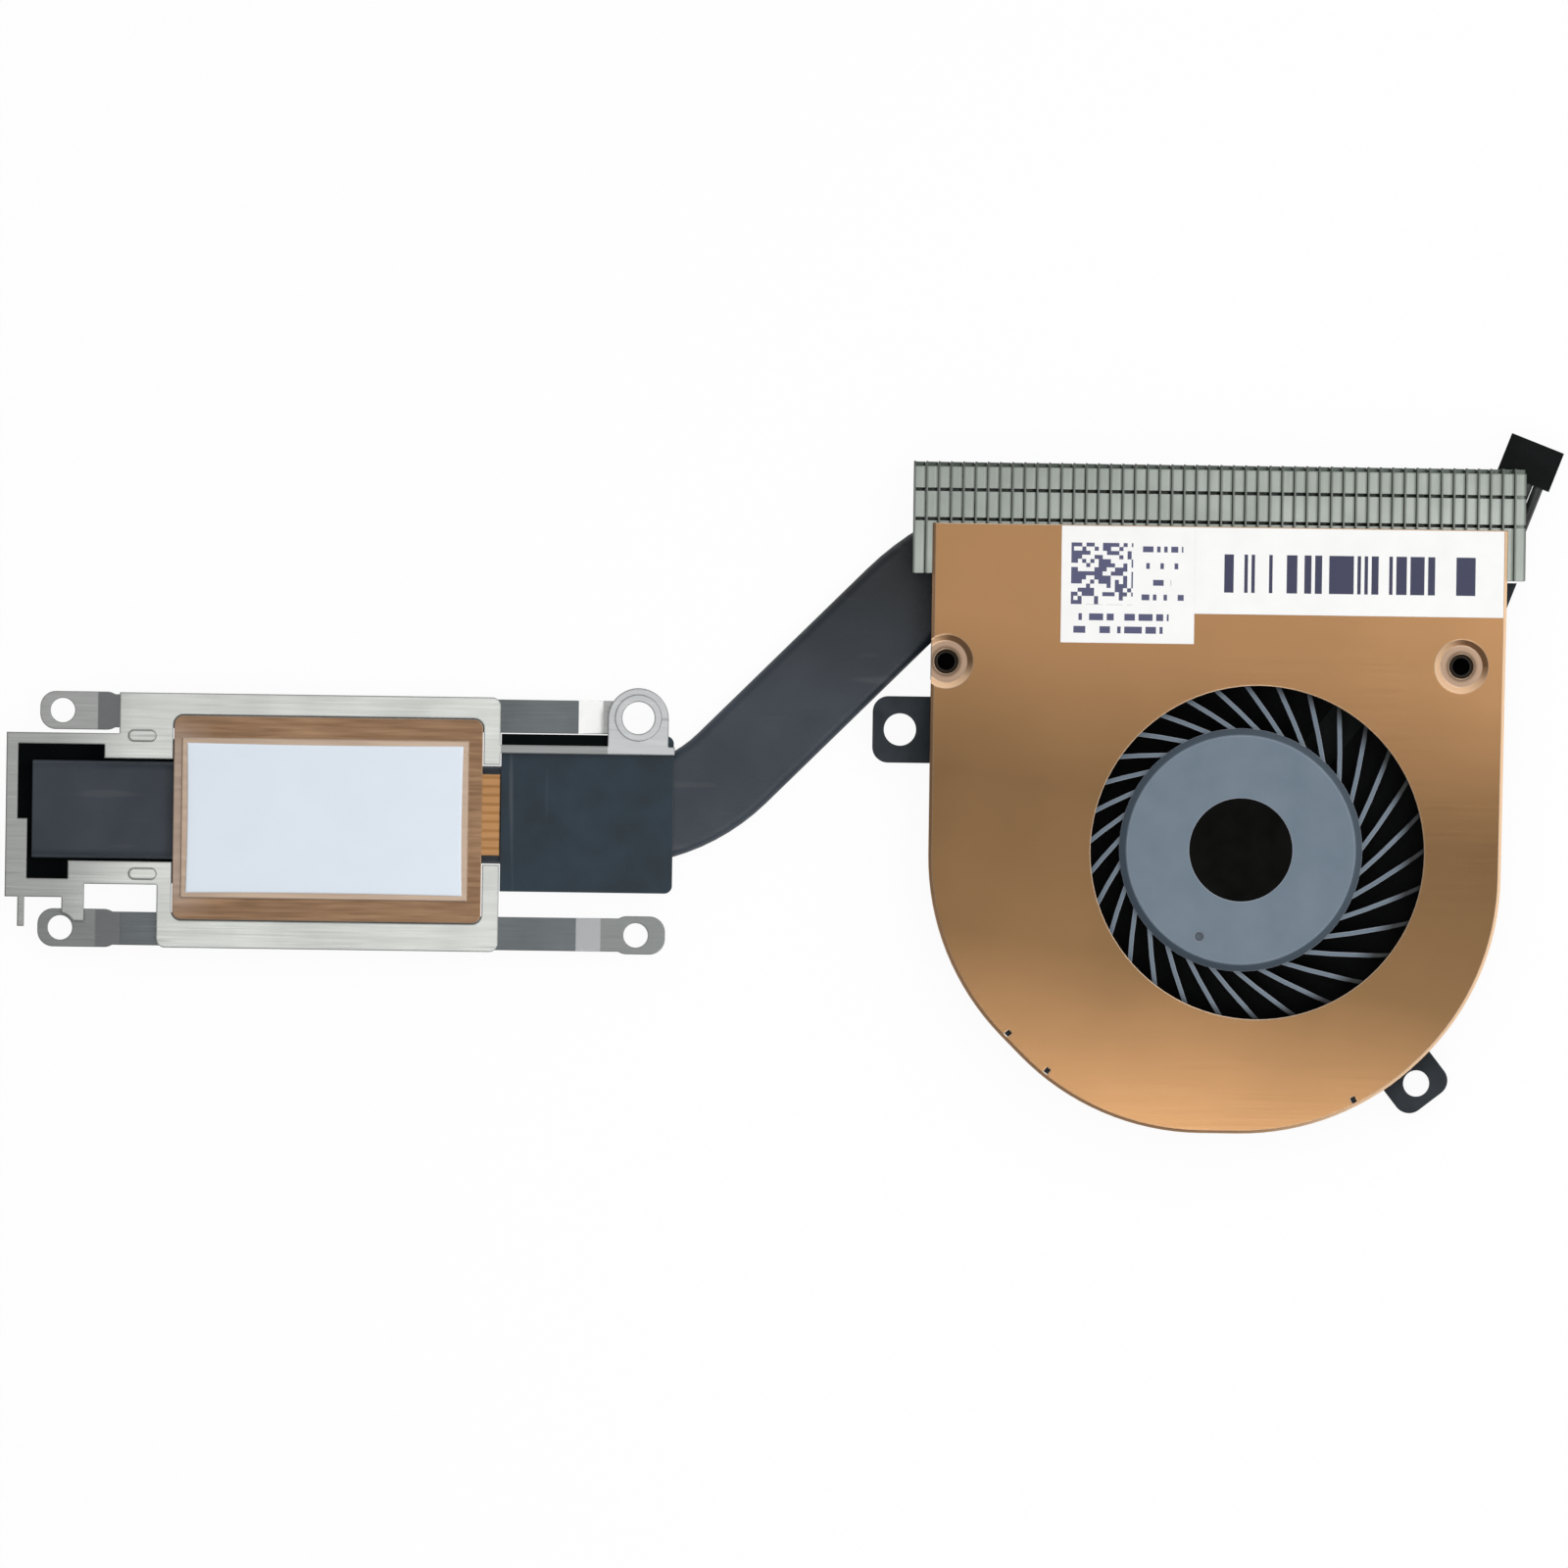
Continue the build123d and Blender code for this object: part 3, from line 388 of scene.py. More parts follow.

# Stator: a pack of stamped steel sheets with a winding of enamelled copper wire on each tooth.
# The sheets show as fine layers on the edge of the pack, and each winding as turns side by side, with a
# painted highlight on each turn's crest and painted shade in the grooves between turns.
# The pack is pressed onto the bearing tube above the board.
SHEET_PITCH = 0.16 * MM
SHEET_STEEL = (0.36, 0.36, 0.37, 1)
SHEET_SEAM = (0.10, 0.095, 0.09, 1)
SHEET_SEAM_SPAN = (0.0, 0.35)
SHEET_EDGE = 0.05 * MM
SHEET_GRAIN = 9000.0
SHEET_METAL = 0.9
SHEET_ROUGH = (0.35, 0.55)
SHEET_RELIEF = (0.02 * MM, 0.6)
WIRE_PITCH = 0.17 * MM
WINDING_EDGE = 0.25 * MM
ENAMEL_CREST_HIGHLIGHT = (0.62, 0.25, 0.10, 1)
ENAMEL_GROOVE_SHADE = (0.20, 0.065, 0.025, 1)
ENAMEL_METAL = 0.8
ENAMEL_ROUGH = (0.5, 0.25)
ENAMEL_RELIEF = (0.06 * MM, 0.8)


def stripes(tree, value, pitch):
    """Even rounded stripes along a value: 0 in the grooves and 1 on the crests."""
    off_groove = reckon(tree, "PINGPONG", value, pitch / 2)
    return ramp(tree, off_groove, 0.0, pitch / 2)


tree, shader = surface("stamped_sheets", nodes["stator_core"])
layers = stripes(tree, part_axes(tree)["Z"], SHEET_PITCH)
edge = place_group(tree, soft_edge, Radius=SHEET_EDGE)
skin = place_group(tree, grain, Scale=SHEET_GRAIN)
set_sockets(tree, shader, {
    "Base Color": mix_tint(tree, ramp(tree, layers, *SHEET_SEAM_SPAN), SHEET_SEAM, SHEET_STEEL),
    "Metallic": SHEET_METAL,
    "Roughness": mix_value(tree, skin["Cloud"], *SHEET_ROUGH),
    "Normal": bump(tree, layers, edge["Normal"], *SHEET_RELIEF),
})

# Painted highlight on the crests of the turns, painted shade in the grooves between them
tree, shader = surface("enamelled_wire", nodes["stator_coils"])
turns = stripes(tree, off_axis(tree, part_spot(tree)), WIRE_PITCH)
edge = place_group(tree, soft_edge, Radius=WINDING_EDGE)
set_sockets(tree, shader, {
    "Base Color": mix_tint(tree, turns, ENAMEL_GROOVE_SHADE, ENAMEL_CREST_HIGHLIGHT),
    "Metallic": ENAMEL_METAL,
    "Roughness": mix_value(tree, turns, *ENAMEL_ROUGH),
    "Normal": bump(tree, turns, edge["Normal"], *ENAMEL_RELIEF),
})

# Motor board: a thin printed board round the tube, with a tail to the pads of the fan's lead.
# Dark green-black solder mask over copper tracks, which show as slightly raised paler lines.
# It lies on the floor of the case under the stator.
BOARD_MASK = (0.0030, 0.0045, 0.0038, 1)
BOARD_TRACK = (0.0055, 0.0095, 0.0075, 1)
TRACK_SCALE = 700.0
TRACK_SPAN = (0.42, 0.50)
BOARD_EDGE = 0.05 * MM
BOARD_SHINE = 0.1
BOARD_ROUGH = (0.42, 0.52)
BOARD_RELIEF = (0.03 * MM, 0.5)
tree, shader = surface("solder_mask", nodes["motor_board"])
cell_sockets = {"Vector": part_spot(tree), "Scale": TRACK_SCALE}
cells = place(tree, "TexVoronoi", cell_sockets, distance="MANHATTAN", feature="F1")
tracks = ramp(tree, cells.outputs["Distance"], *TRACK_SPAN)
edge = place_group(tree, soft_edge, Radius=BOARD_EDGE)
set_sockets(tree, shader, {
    "Base Color": mix_tint(tree, tracks, BOARD_MASK, BOARD_TRACK),
    "Specular IOR Level": BOARD_SHINE,
    "Roughness": mix_value(tree, tracks, *BOARD_ROUGH),
    "Normal": bump(tree, tracks, edge["Normal"], *BOARD_RELIEF),
})

# Rotor: a drawn steel cup moulded into the hub, with a ring magnet in it and the shaft at its middle.
# The cup and the ground shaft are bright steel; the magnet is dull pressed ferrite.
# Together they turn with the impeller on the bearing.
STEEL_TINT = (0.55, 0.55, 0.56, 1)
STEEL_ROUGH = 0.22
FERRITE = {
    "tints": ((0.045, 0.045, 0.048, 1), (0.085, 0.085, 0.09, 1)),
    "radius": 0.10 * MM,
    "scale": 16000.0,
    "rough": (0.5, 0.75),
    "relief": (0.03 * MM, 0.5),
}
FERRITE_METAL = 0.2
turned_metal("drawn_steel", STEEL_TINT, [nodes["rotor_yoke"], nodes["rotor_shaft"]], STEEL_ROUGH)
shader = grained("pressed_ferrite", [nodes["rotor_magnet"]], **FERRITE)
shader.inputs["Metallic"].default_value = FERRITE_METAL

# Impeller: the blue-grey hub with its ring of thin blades, moulded in one shot with a satin skin.
# Painted highlight pales the blades' upper edges and the hub's edges, painted shade darkens the hub's
# slope, the balance hole and the blade tips under the cover, and a little dust lies on the crown.
# It is moulded over the steel cup and turns with it.
HUB_TINT = (0.112, 0.158, 0.206, 1)
HUB_DUST = (0.140, 0.187, 0.236, 1)
HUB_SLOPE_SHADE = (0.050, 0.072, 0.096, 1)
HUB_SLOPE_R = (11.75 * MM, 12.4 * MM)
BLADE_EDGE_HIGHLIGHT = (0.36, 0.385, 0.435, 1)
BLADE_TIP_SHADE = (0.004, 0.006, 0.008, 1)
BLADE_SHADE_R = (15.8 * MM, 17.4 * MM)
BALANCE_AT = (-4.14 * MM, -8.88 * MM, 5.4 * MM)
BALANCE_R = (0.4 * MM, 0.75 * MM)
BALANCE_SHADE_SHARE = 0.8
HUB_EDGE = 0.16 * MM
HUB_GRAIN = 6500.0
HUB_ROUGH = (0.36, 0.50)
HUB_RELIEF = (0.015 * MM, 0.3)
tree, shader = surface("impeller_plastic", nodes["impeller"])
edge = place_group(tree, soft_edge, Radius=HUB_EDGE)
skin = place_group(tree, grain, Scale=HUB_GRAIN)
spot = part_spot(tree)
radius = off_axis(tree, spot)
off_hole = reckon_vector(tree, "DISTANCE", spot, BALANCE_AT)["Value"]
tint = mix_tint(tree, skin["Cloud"], HUB_TINT, HUB_DUST)
# Painted shade in the balance hole and on the hub's slope
tint = mix_tint(tree, ramp(tree, off_hole, *BALANCE_R, BALANCE_SHADE_SHARE, 0.0), tint, HUB_SLOPE_SHADE)
tint = mix_tint(tree, within(tree, radius, *HUB_SLOPE_R), tint, HUB_SLOPE_SHADE)
# Painted highlight along every edge of the blades and hub
tint = mix_tint(tree, edge["Edge"], tint, BLADE_EDGE_HIGHLIGHT)
# Painted shadow: the blade tips darken to near-black where they run under the cover
set_sockets(tree, shader, {
    "Base Color": mix_tint(tree, ramp(tree, radius, *BLADE_SHADE_R), tint, BLADE_TIP_SHADE),
    "Roughness": mix_value(tree, skin["Cloud"], *HUB_ROUGH),
    "Normal": bump(tree, skin["Fine"], edge["Normal"], *HUB_RELIEF),
})

# Hub disc: a flat black disc let into the hub over the end of the shaft.
# A stuck-on film with a dead-matt face that gives almost no shine.
# It sits in a shallow round pocket and turns with the hub.
DISC = {
    "tints": ((0.0025, 0.0025, 0.0022, 1), (0.0050, 0.0050, 0.0046, 1)),
    "radius": 0.06 * MM,
    "scale": 11000.0,
    "rough": (0.7, 0.9),
    "relief": (0.02 * MM, 0.4),
}
DISC_SHINE = 0.04
shader = grained("matt_disc", [nodes["hub_cap"]], **DISC)
shader.inputs["Specular IOR Level"].default_value = DISC_SHINE

# Fan cover: the pressed lid of the blower, with its turned-down skirt, round inlet and two screw dishes.
# Satin copper-coloured sheet with a fine even brush and slow random tone changes; a darker band across it
# is painted reflection, its edges carry a painted highlight, its bends are painted pale towards the light
# and brown as shade away from it, and painted shade darkens the dish floors round the screw holes.
# It is clipped over the case, and its front edge lies on the fins.
COVER_LIT = (0.48, 0.260, 0.119, 1)
COVER_MOTTLE_AND_DARK_REFLECTION = (0.228, 0.131, 0.060, 1)
COVER_REFLECTION_BAND = (0.15, 1.0, 0.0)
COVER_REFLECTION_BAND_OFF = 4.6 * MM
REFLECTION_BAND_REACH = (8 * MM, 24 * MM)
REFLECTION_BAND_SHARE = 0.85
COVER_MOTTLE = 0.2
COVER_RIM_HIGHLIGHT = (0.92, 0.72, 0.54, 1)
BEND_HIGHLIGHT = (0.96, 0.655, 0.415, 1)
BEND_SHADE = (0.40, 0.235, 0.130, 1)
BEND_UPRIGHT = (0.48, 0.92)
SHADE_LEAN = (-0.15, -0.5)
DISH_FLOOR = (0.47, 0.320, 0.225, 1)
DISH_HOLE_SHADE = (0.11, 0.070, 0.042, 1)
DISH_AT = (Vector((-30.3, 18.8, 0)) * MM, Vector((22.2, 19.0, 0)) * MM)
DISH_DEPTH = 0.4 * MM
DISH_HOLE_R = (1.3 * MM, 1.7 * MM)
DISH_UPRIGHT = 0.9
COVER_EDGE = 0.22 * MM
COVER_GRAIN = 1500.0
COVER_BRUSH = (90.0, 9000.0, 9000.0)
COVER_ROUGH = (0.28, 0.36)
COVER_RELIEF = (0.006 * MM, 0.25)
LINE_DETAIL = 3.0
SCRATCH_STRETCH = (0.35, 0.22, 0.22)
SCRATCH_DETAIL = 1.0
SCRATCH_SPAN = (0.66, 0.74)

# Fine lines of a brushed or rolled sheet, and a few longer scratches among them
brushing, takes, gives = start_group(
    "brushing", {"Along": COVER_BRUSH}, {"Lines": "Float", "Scratches": "Float"}
)
drawn = reckon_vector(brushing, "MULTIPLY", part_spot(brushing), takes["Along"])["Vector"]
coarse = reckon_vector(brushing, "MULTIPLY", drawn, SCRATCH_STRETCH)["Vector"]
streaks = soft_noise(brushing, coarse, 1.0, SCRATCH_DETAIL)
set_sockets(brushing, gives, {
    "Lines": soft_noise(brushing, drawn, 1.0, LINE_DETAIL),
    "Scratches": ramp(brushing, streaks, *SCRATCH_SPAN),
})

cover_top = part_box("fan_cover")[1].z
tree, shader = surface("satin_copper_sheet", nodes["fan_cover"])
edge = place_group(tree, soft_edge, Radius=COVER_EDGE)
brush = place_group(tree, brushing, Along=COVER_BRUSH)
skin = place_group(tree, grain, Scale=COVER_GRAIN)
spot = part_spot(tree)
# Painted reflection: a darker band across the cover, added to the random mottle
off_reflection_band = reckon_vector(tree, "DOT_PRODUCT", spot, COVER_REFLECTION_BAND)["Value"]
off_reflection_band = reckon(tree, "ABSOLUTE", reckon(tree, "ADD", off_reflection_band, COVER_REFLECTION_BAND_OFF))
painted_reflection_band = ramp(tree, off_reflection_band, *REFLECTION_BAND_REACH, REFLECTION_BAND_SHARE, 0.0)
mottle_and_reflection = reckon(tree, "ADD", reckon(tree, "MULTIPLY", skin["Cloud"], COVER_MOTTLE), painted_reflection_band)
tint = mix_tint(tree, mottle_and_reflection, COVER_LIT, COVER_MOTTLE_AND_DARK_REFLECTION)
outward = place(tree, "NewGeometry", {}).outputs["Normal"]
upright = place(tree, "SeparateXYZ", {"Vector": outward}).outputs["Z"]
height = place(tree, "SeparateXYZ", {"Vector": spot}).outputs["Z"]
sunk = reckon(tree, "LESS_THAN", height, cover_top - DISH_DEPTH)
in_dish = reckon(tree, "MULTIPLY", sunk, reckon(tree, "GREATER_THAN", upright, DISH_UPRIGHT))
plan = reckon_vector(tree, "MULTIPLY", spot, IN_PLAN)["Vector"]
off_screw = reckon(tree, "MINIMUM", *(
    reckon_vector(tree, "DISTANCE", plan, middle)["Value"] for middle in DISH_AT
))
# Painted shade: the dish floors darken towards the screw holes
floor_tint = mix_tint(tree, ramp(tree, off_screw, *DISH_HOLE_R), DISH_HOLE_SHADE, DISH_FLOOR)
tint = mix_tint(tree, in_dish, tint, floor_tint)
# Painted highlight along the cover's edges
tint = mix_tint(tree, edge["Edge"], tint, COVER_RIM_HIGHLIGHT)
# Painted light and shade on the bends: pale where they face the bright side, brown where they turn from it
leaning = reckon_vector(tree, "DOT_PRODUCT", outward, BRIGHT_SIDE)["Value"]
bend_light_and_shade = mix_tint(tree, ramp(tree, leaning, *SHADE_LEAN), BEND_HIGHLIGHT, BEND_SHADE)
set_sockets(tree, shader, {
    "Base Color": mix_tint(tree, within(tree, upright, *BEND_UPRIGHT), tint, bend_light_and_shade),
    "Metallic": 1.0,
    "Roughness": roughness(tree, brush["Lines"], *COVER_ROUGH),
    "Normal": bump(tree, brush["Lines"], edge["Normal"], *COVER_RELIEF),
})

# Labels: two white coated-paper labels side by side along the cover's front edge.
# One carries a field of random dark blocks and short rows of bars, the other one row of plain bars.
# They are printed in dark blue ink and stuck to the cover.
PAPER = (0.91, 0.91, 0.90, 1)
PAPER_SHADE = (0.87, 0.87, 0.86, 1)
PAPER_EDGE = 0.04 * MM
PAPER_GRAIN = 9000.0
PAPER_ROUGH = (0.42, 0.55)
PAPER_RELIEF = (0.008 * MM, 0.3)
INK = (0.030, 0.033, 0.085, 1)
INK_THIN = (0.075, 0.078, 0.165, 1)
BLOCK_PITCH = 0.42 * MM
BLOCK_BARE = 0.48
BAR_PITCH = 0.36 * MM
BAR_BARE = 0.45
LINE_PITCH = 1.7 * MM
LONE_LINE = 3.0
# Print fields in millimetres: left and right from the label's left edge, top and bottom from its far edge
BLOCK_FIELD = (1.0, 7.3, 1.7, 8.0)
SHORT_ROWS = ((8.2, 12.4, 2.0, 2.6), (8.2, 11.9, 3.7, 4.3), (8.2, 11.2, 5.4, 6.0), (8.2, 12.5, 6.9, 7.5))
LONG_ROWS = ((1.1, 11.0, 8.9, 9.6), (1.3, 10.4, 10.2, 10.9))
BAR_ROW = (3.0, 28.6, 2.7, 6.6)


def dark_cells(tree, across, column_pitch, line, bare):
    """Mask of cells picked at random along a line; bare is the share of them with no ink."""
    column = reckon(tree, "FLOOR", reckon(tree, "DIVIDE", across, column_pitch))
    cell = place(tree, "CombineXYZ", {"X": column, "Y": line}).outputs[0]
    return reckon(tree, "GREATER_THAN", place(tree, "TexWhiteNoise", {"Vector": cell}).outputs[0], bare)


def printed_paper(name, label, rows, blocks, ink):
    """White label with rows of bars and fields of blocks."""
    low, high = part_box(label)
    tree, shader = surface(name, nodes[label])
    axes = part_axes(tree)
    across = reckon(tree, "SUBTRACT", axes["X"], low.x)
    down = reckon(tree, "SUBTRACT", high.y, axes["Y"])
    block_line = reckon(tree, "FLOOR", reckon(tree, "DIVIDE", down, BLOCK_PITCH))
    bar_line = reckon(tree, "FLOOR", reckon(tree, "DIVIDE", down, LINE_PITCH))
    dark_block = dark_cells(tree, across, BLOCK_PITCH, block_line, BLOCK_BARE)
    dark_bar = dark_cells(tree, across, BAR_PITCH, bar_line if len(rows) > 1 else LONE_LINE, BAR_BARE)
    inked = 0.0
    for fields, dark in ((rows, dark_bar), (blocks, dark_block)):
        for left, right, top, bottom in fields:
            in_width = within(tree, across, left * MM, right * MM)
            in_field = reckon(tree, "MULTIPLY", in_width, within(tree, down, top * MM, bottom * MM))
            inked = reckon(tree, "ADD", reckon(tree, "MULTIPLY", in_field, dark), inked)
    edge = place_group(tree, soft_edge, Radius=PAPER_EDGE)
    skin = place_group(tree, grain, Scale=PAPER_GRAIN)
    sheet = mix_tint(tree, skin["Cloud"], PAPER, PAPER_SHADE)
    set_sockets(tree, shader, {
        "Base Color": mix_tint(tree, inked, sheet, ink),
        "Roughness": roughness(tree, skin["Fine"], *PAPER_ROUGH),
        "Normal": bump(tree, skin["Fine"], edge["Normal"], *PAPER_RELIEF),
    })


printed_paper("block_label_paper", "label_small", SHORT_ROWS + LONG_ROWS, [BLOCK_FIELD], INK_THIN)
printed_paper("bar_label_paper", "label_long", [BAR_ROW], [], INK)

# Fan lead: four thin insulated wires side by side, ending in a small plug-in connector.
# Black sheaths with a soft uneven shine, a crisp moulded body, and plated contacts in its pockets.
# The wires are soldered to the board and lie in a notch of the case.
SHEATH_DARK = (0.012, 0.012, 0.013, 1)
SHEATH_PALE = (0.050, 0.051, 0.054, 1)
SHEATH_EDGE = 0.08 * MM
SHEATH_GRAIN = 13000.0
SHEATH_ROUGH = (0.35, 0.5)
SHEATH_RELIEF = (0.04 * MM, 0.4)
PLUG_DARK = (0.0018, 0.0030, 0.0030, 1)
PLUG_PALE = (0.0040, 0.0060, 0.0060, 1)
PLUG_EDGE = 0.12 * MM
PLUG_GRAIN = 10000.0
PLUG_SHINE = 0.1
PLUG_ROUGH = (0.4, 0.6)
PLUG_RELIEF = (0.02 * MM, 0.4)
CONTACT_TINT = (0.72, 0.60, 0.36, 1)
CONTACT_DULL = (0.45, 0.36, 0.20, 1)
CONTACT_EDGE = 0.05 * MM
CONTACT_GRAIN = 12000.0
CONTACT_ROUGH = (0.25, 0.45)
tree, shader = surface("wire_sheath", nodes["fan_wires"])
edge = place_group(tree, soft_edge, Radius=SHEATH_EDGE)
skin = place_group(tree, grain, Scale=SHEATH_GRAIN)
set_sockets(tree, shader, {
    "Base Color": mix_tint(tree, skin["Cloud"], SHEATH_DARK, SHEATH_PALE),
    "Roughness": mix_value(tree, skin["Cloud"], *SHEATH_ROUGH),
    "Normal": bump(tree, skin["Cloud"], edge["Normal"], *SHEATH_RELIEF),
})

tree, shader = surface("plug_plastic", nodes["connector_housing"])
edge = place_group(tree, soft_edge, Radius=PLUG_EDGE)
skin = place_group(tree, grain, Scale=PLUG_GRAIN)
tint = mix_tint(tree, skin["Cloud"], PLUG_DARK, PLUG_PALE)
set_sockets(tree, shader, {
    "Base Color": mix_tint(tree, edge["Edge"], tint, CASE_WORN),
    "Specular IOR Level": PLUG_SHINE,
    "Roughness": roughness(tree, skin["Fine"], *PLUG_ROUGH),
    "Normal": bump(tree, skin["Fine"], edge["Normal"], *PLUG_RELIEF),
})

tree, shader = surface("plated_contact", nodes["connector_contacts"])
edge = place_group(tree, soft_edge, Radius=CONTACT_EDGE)
skin = place_group(tree, grain, Scale=CONTACT_GRAIN)
set_sockets(tree, shader, {
    "Base Color": mix_tint(tree, skin["Cloud"], CONTACT_TINT, CONTACT_DULL),
    "Metallic": 1.0,
    "Roughness": mix_value(tree, skin["Cloud"], *CONTACT_ROUGH),
    "Normal": edge["Normal"],
})

# Fins: folded sheets with a flange above and below, hooked into each other in one long row.
# Bare aluminium with a pale greenish oxide, duller towards the front, painted shade on a thin strip along
# the front edge, and a rounded seam at every fold painted dark as shade.
# They are soldered along the heat pipe and stand in the blower's outlet.
FIN_PITCH = 1.25 * MM
FIN_SEAM = 0.03 * MM
FIN_PALE = (0.465, 0.502, 0.465, 1)
FIN_DULL = (0.360, 0.394, 0.360, 1)
FIN_FRONT_DULL = (0.300, 0.330, 0.300, 1)
FIN_FRONT_DULL_REACH = 6 * MM
FIN_FRONT_DULL_SHARE = 0.5
FIN_FRONT_SHADE = (0.17, 0.20, 0.175, 1)
FIN_FRONT = (0.65 * MM, 0.45 * MM)
FOLD_SHADE = (0.135, 0.153, 0.135, 1)
FOLD_W = (0.03 * MM, 0.30 * MM)
FIN_EDGE = 0.06 * MM
FIN_GRAIN = 5000.0
FIN_BRUSH = (9000.0, 120.0, 9000.0)
FIN_METAL = 0.85
FIN_ROUGH = (0.36, 0.52)
FIN_RELIEF = (-0.08 * MM, 0.6)
fin_low, fin_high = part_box("fin_stack")
tree, shader = surface("oxidised_aluminium", nodes["fin_stack"])
axes = part_axes(tree)
along = reckon(tree, "SUBTRACT", axes["X"], fin_low.x - FIN_SEAM)
fold = ramp(tree, reckon(tree, "PINGPONG", along, FIN_PITCH / 2), *FOLD_W, 1.0, 0.0)
duller_front = ramp(tree, axes["Y"], fin_high.y - FIN_FRONT_DULL_REACH, fin_high.y, 0.0, FIN_FRONT_DULL_SHARE)
at_front = ramp(tree, axes["Y"], *(fin_high.y - reach for reach in FIN_FRONT))
edge = place_group(tree, soft_edge, Radius=FIN_EDGE)
skin = place_group(tree, grain, Scale=FIN_GRAIN)
brush = place_group(tree, brushing, Along=FIN_BRUSH)
tint = mix_tint(tree, skin["Cloud"], FIN_PALE, FIN_DULL)
# Duller towards the front
tint = mix_tint(tree, duller_front, tint, FIN_FRONT_DULL)
# Painted shade on a thin strip along the front edge
tint = mix_tint(tree, at_front, tint, FIN_FRONT_SHADE)
# Painted shade in the rounded seam at every fold
set_sockets(tree, shader, {
    "Base Color": mix_tint(tree, fold, tint, FOLD_SHADE),
    "Metallic": FIN_METAL,
    "Roughness": roughness(tree, brush["Lines"], *FIN_ROUGH),
    "Normal": bump(tree, fold, edge["Normal"], *FIN_RELIEF),
})

# Fin solder: the thin grey solder that has run into the seams between the fins' lower flanges.
# Tin, slightly grainy, painted dark as the shade at the bottom of each seam, where it shows only as a dark
# line.
# It holds the row together and joins it to the heat pipe.
SOLDER_W = 0.05 * MM
SOLDER_Z = (0.02 * MM, 0.15 * MM)
SOLDER_SETBACK = 0.1 * MM
SOLDER_FACES = ((0, 2, 3, 1), (4, 5, 7, 6), (0, 1, 5, 4), (2, 6, 7, 3), (0, 4, 6, 2), (1, 3, 7, 5))
SOLDER_SHADE_TINT = (0.085, 0.090, 0.085, 1)
SOLDER_SHADE_DULL = (0.055, 0.060, 0.055, 1)
SOLDER_GRAIN = 9000.0
SOLDER_METAL = 0.6
SOLDER_ROUGH = (0.45, 0.65)
SOLDER_RELIEF = (0.01 * MM, 0.3)


def formed_piece(name, form):
    """New piece with the shape that was built up in a form."""
    mesh = bpy.data.meshes.new(name)
    form.to_mesh(mesh)
    form.free()
    return add_object(name, mesh)


solder_form = bmesh.new()
for seam in range(1, round((fin_high.x - fin_low.x) / FIN_PITCH)):
    seam_x = fin_low.x + seam * FIN_PITCH - FIN_SEAM
    corners = [
        solder_form.verts.new((seam_x + side * SOLDER_W / 2, y, fin_low.z + z))
        for z in SOLDER_Z
        for y in (fin_low.y + SOLDER_SETBACK, fin_high.y - SOLDER_SETBACK)
        for side in (-1, 1)
    ]
    for turn in SOLDER_FACES:
        solder_form.faces.new([corners[index] for index in turn])
fin_solder = formed_piece("fin_solder", solder_form)
# Painted shade: the solder is made dark to stand for the shade deep in the seams
tree, shader = surface("shade_dark_solder", fin_solder)
skin = place_group(tree, grain, Scale=SOLDER_GRAIN)
normal = place(tree, "NewGeometry", {}).outputs["Normal"]
set_sockets(tree, shader, {
    "Base Color": mix_tint(tree, skin["Cloud"], SOLDER_SHADE_TINT, SOLDER_SHADE_DULL),
    "Metallic": SOLDER_METAL,
    "Roughness": roughness(tree, skin["Fine"], *SOLDER_ROUGH),
    "Normal": bump(tree, skin["Fine"], normal, *SOLDER_RELIEF),
})
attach(fin_solder, "chassis")

# Heat pipe: a sealed copper tube pressed flat and bent twice on its way to the fins.
# A thin black-grey coating with fine rolling marks along it and a soft satin shine, with painted shade
# darkening it by the fins.
# It is soldered under the fins and under the cold plate.
PIPE_DARK = (0.022, 0.032, 0.046, 1)
PIPE_PALE = (0.033, 0.045, 0.062, 1)
PIPE_SHADE = (0.0060, 0.0100, 0.0150, 1)
PIPE_SHADE_Y = (14 * MM, 26 * MM)
PIPE_SCUFF = (0.090, 0.095, 0.100, 1)
PIPE_SCUFF_SHARE = 0.25
PIPE_EDGE = 0.15 * MM
PIPE_GRAIN = 4500.0
PIPE_BRUSH = (260.0, 2600.0, 2600.0)
PIPE_ROUGH = (0.40, 0.56)
PIPE_RELIEF = (0.015 * MM, 0.35)
tree, shader = surface("pipe_coating", nodes["heat_pipe"])
edge = place_group(tree, soft_edge, Radius=PIPE_EDGE)
skin = place_group(tree, grain, Scale=PIPE_GRAIN)
brush = place_group(tree, brushing, Along=PIPE_BRUSH)
tint = mix_tint(tree, skin["Cloud"], PIPE_DARK, PIPE_PALE)
# Painted shade: the pipe darkens as it nears the fins
tint = mix_tint(tree, ramp(tree, part_axes(tree)["Y"], *PIPE_SHADE_Y), tint, PIPE_SHADE)
scuff = reckon(tree, "MULTIPLY", brush["Scratches"], PIPE_SCUFF_SHARE)
set_sockets(tree, shader, {
    "Base Color": mix_tint(tree, scuff, tint, PIPE_SCUFF),
    "Roughness": roughness(tree, skin["Fine"], *PIPE_ROUGH),
    "Normal": bump(tree, brush["Lines"], edge["Normal"], *PIPE_RELIEF),
})

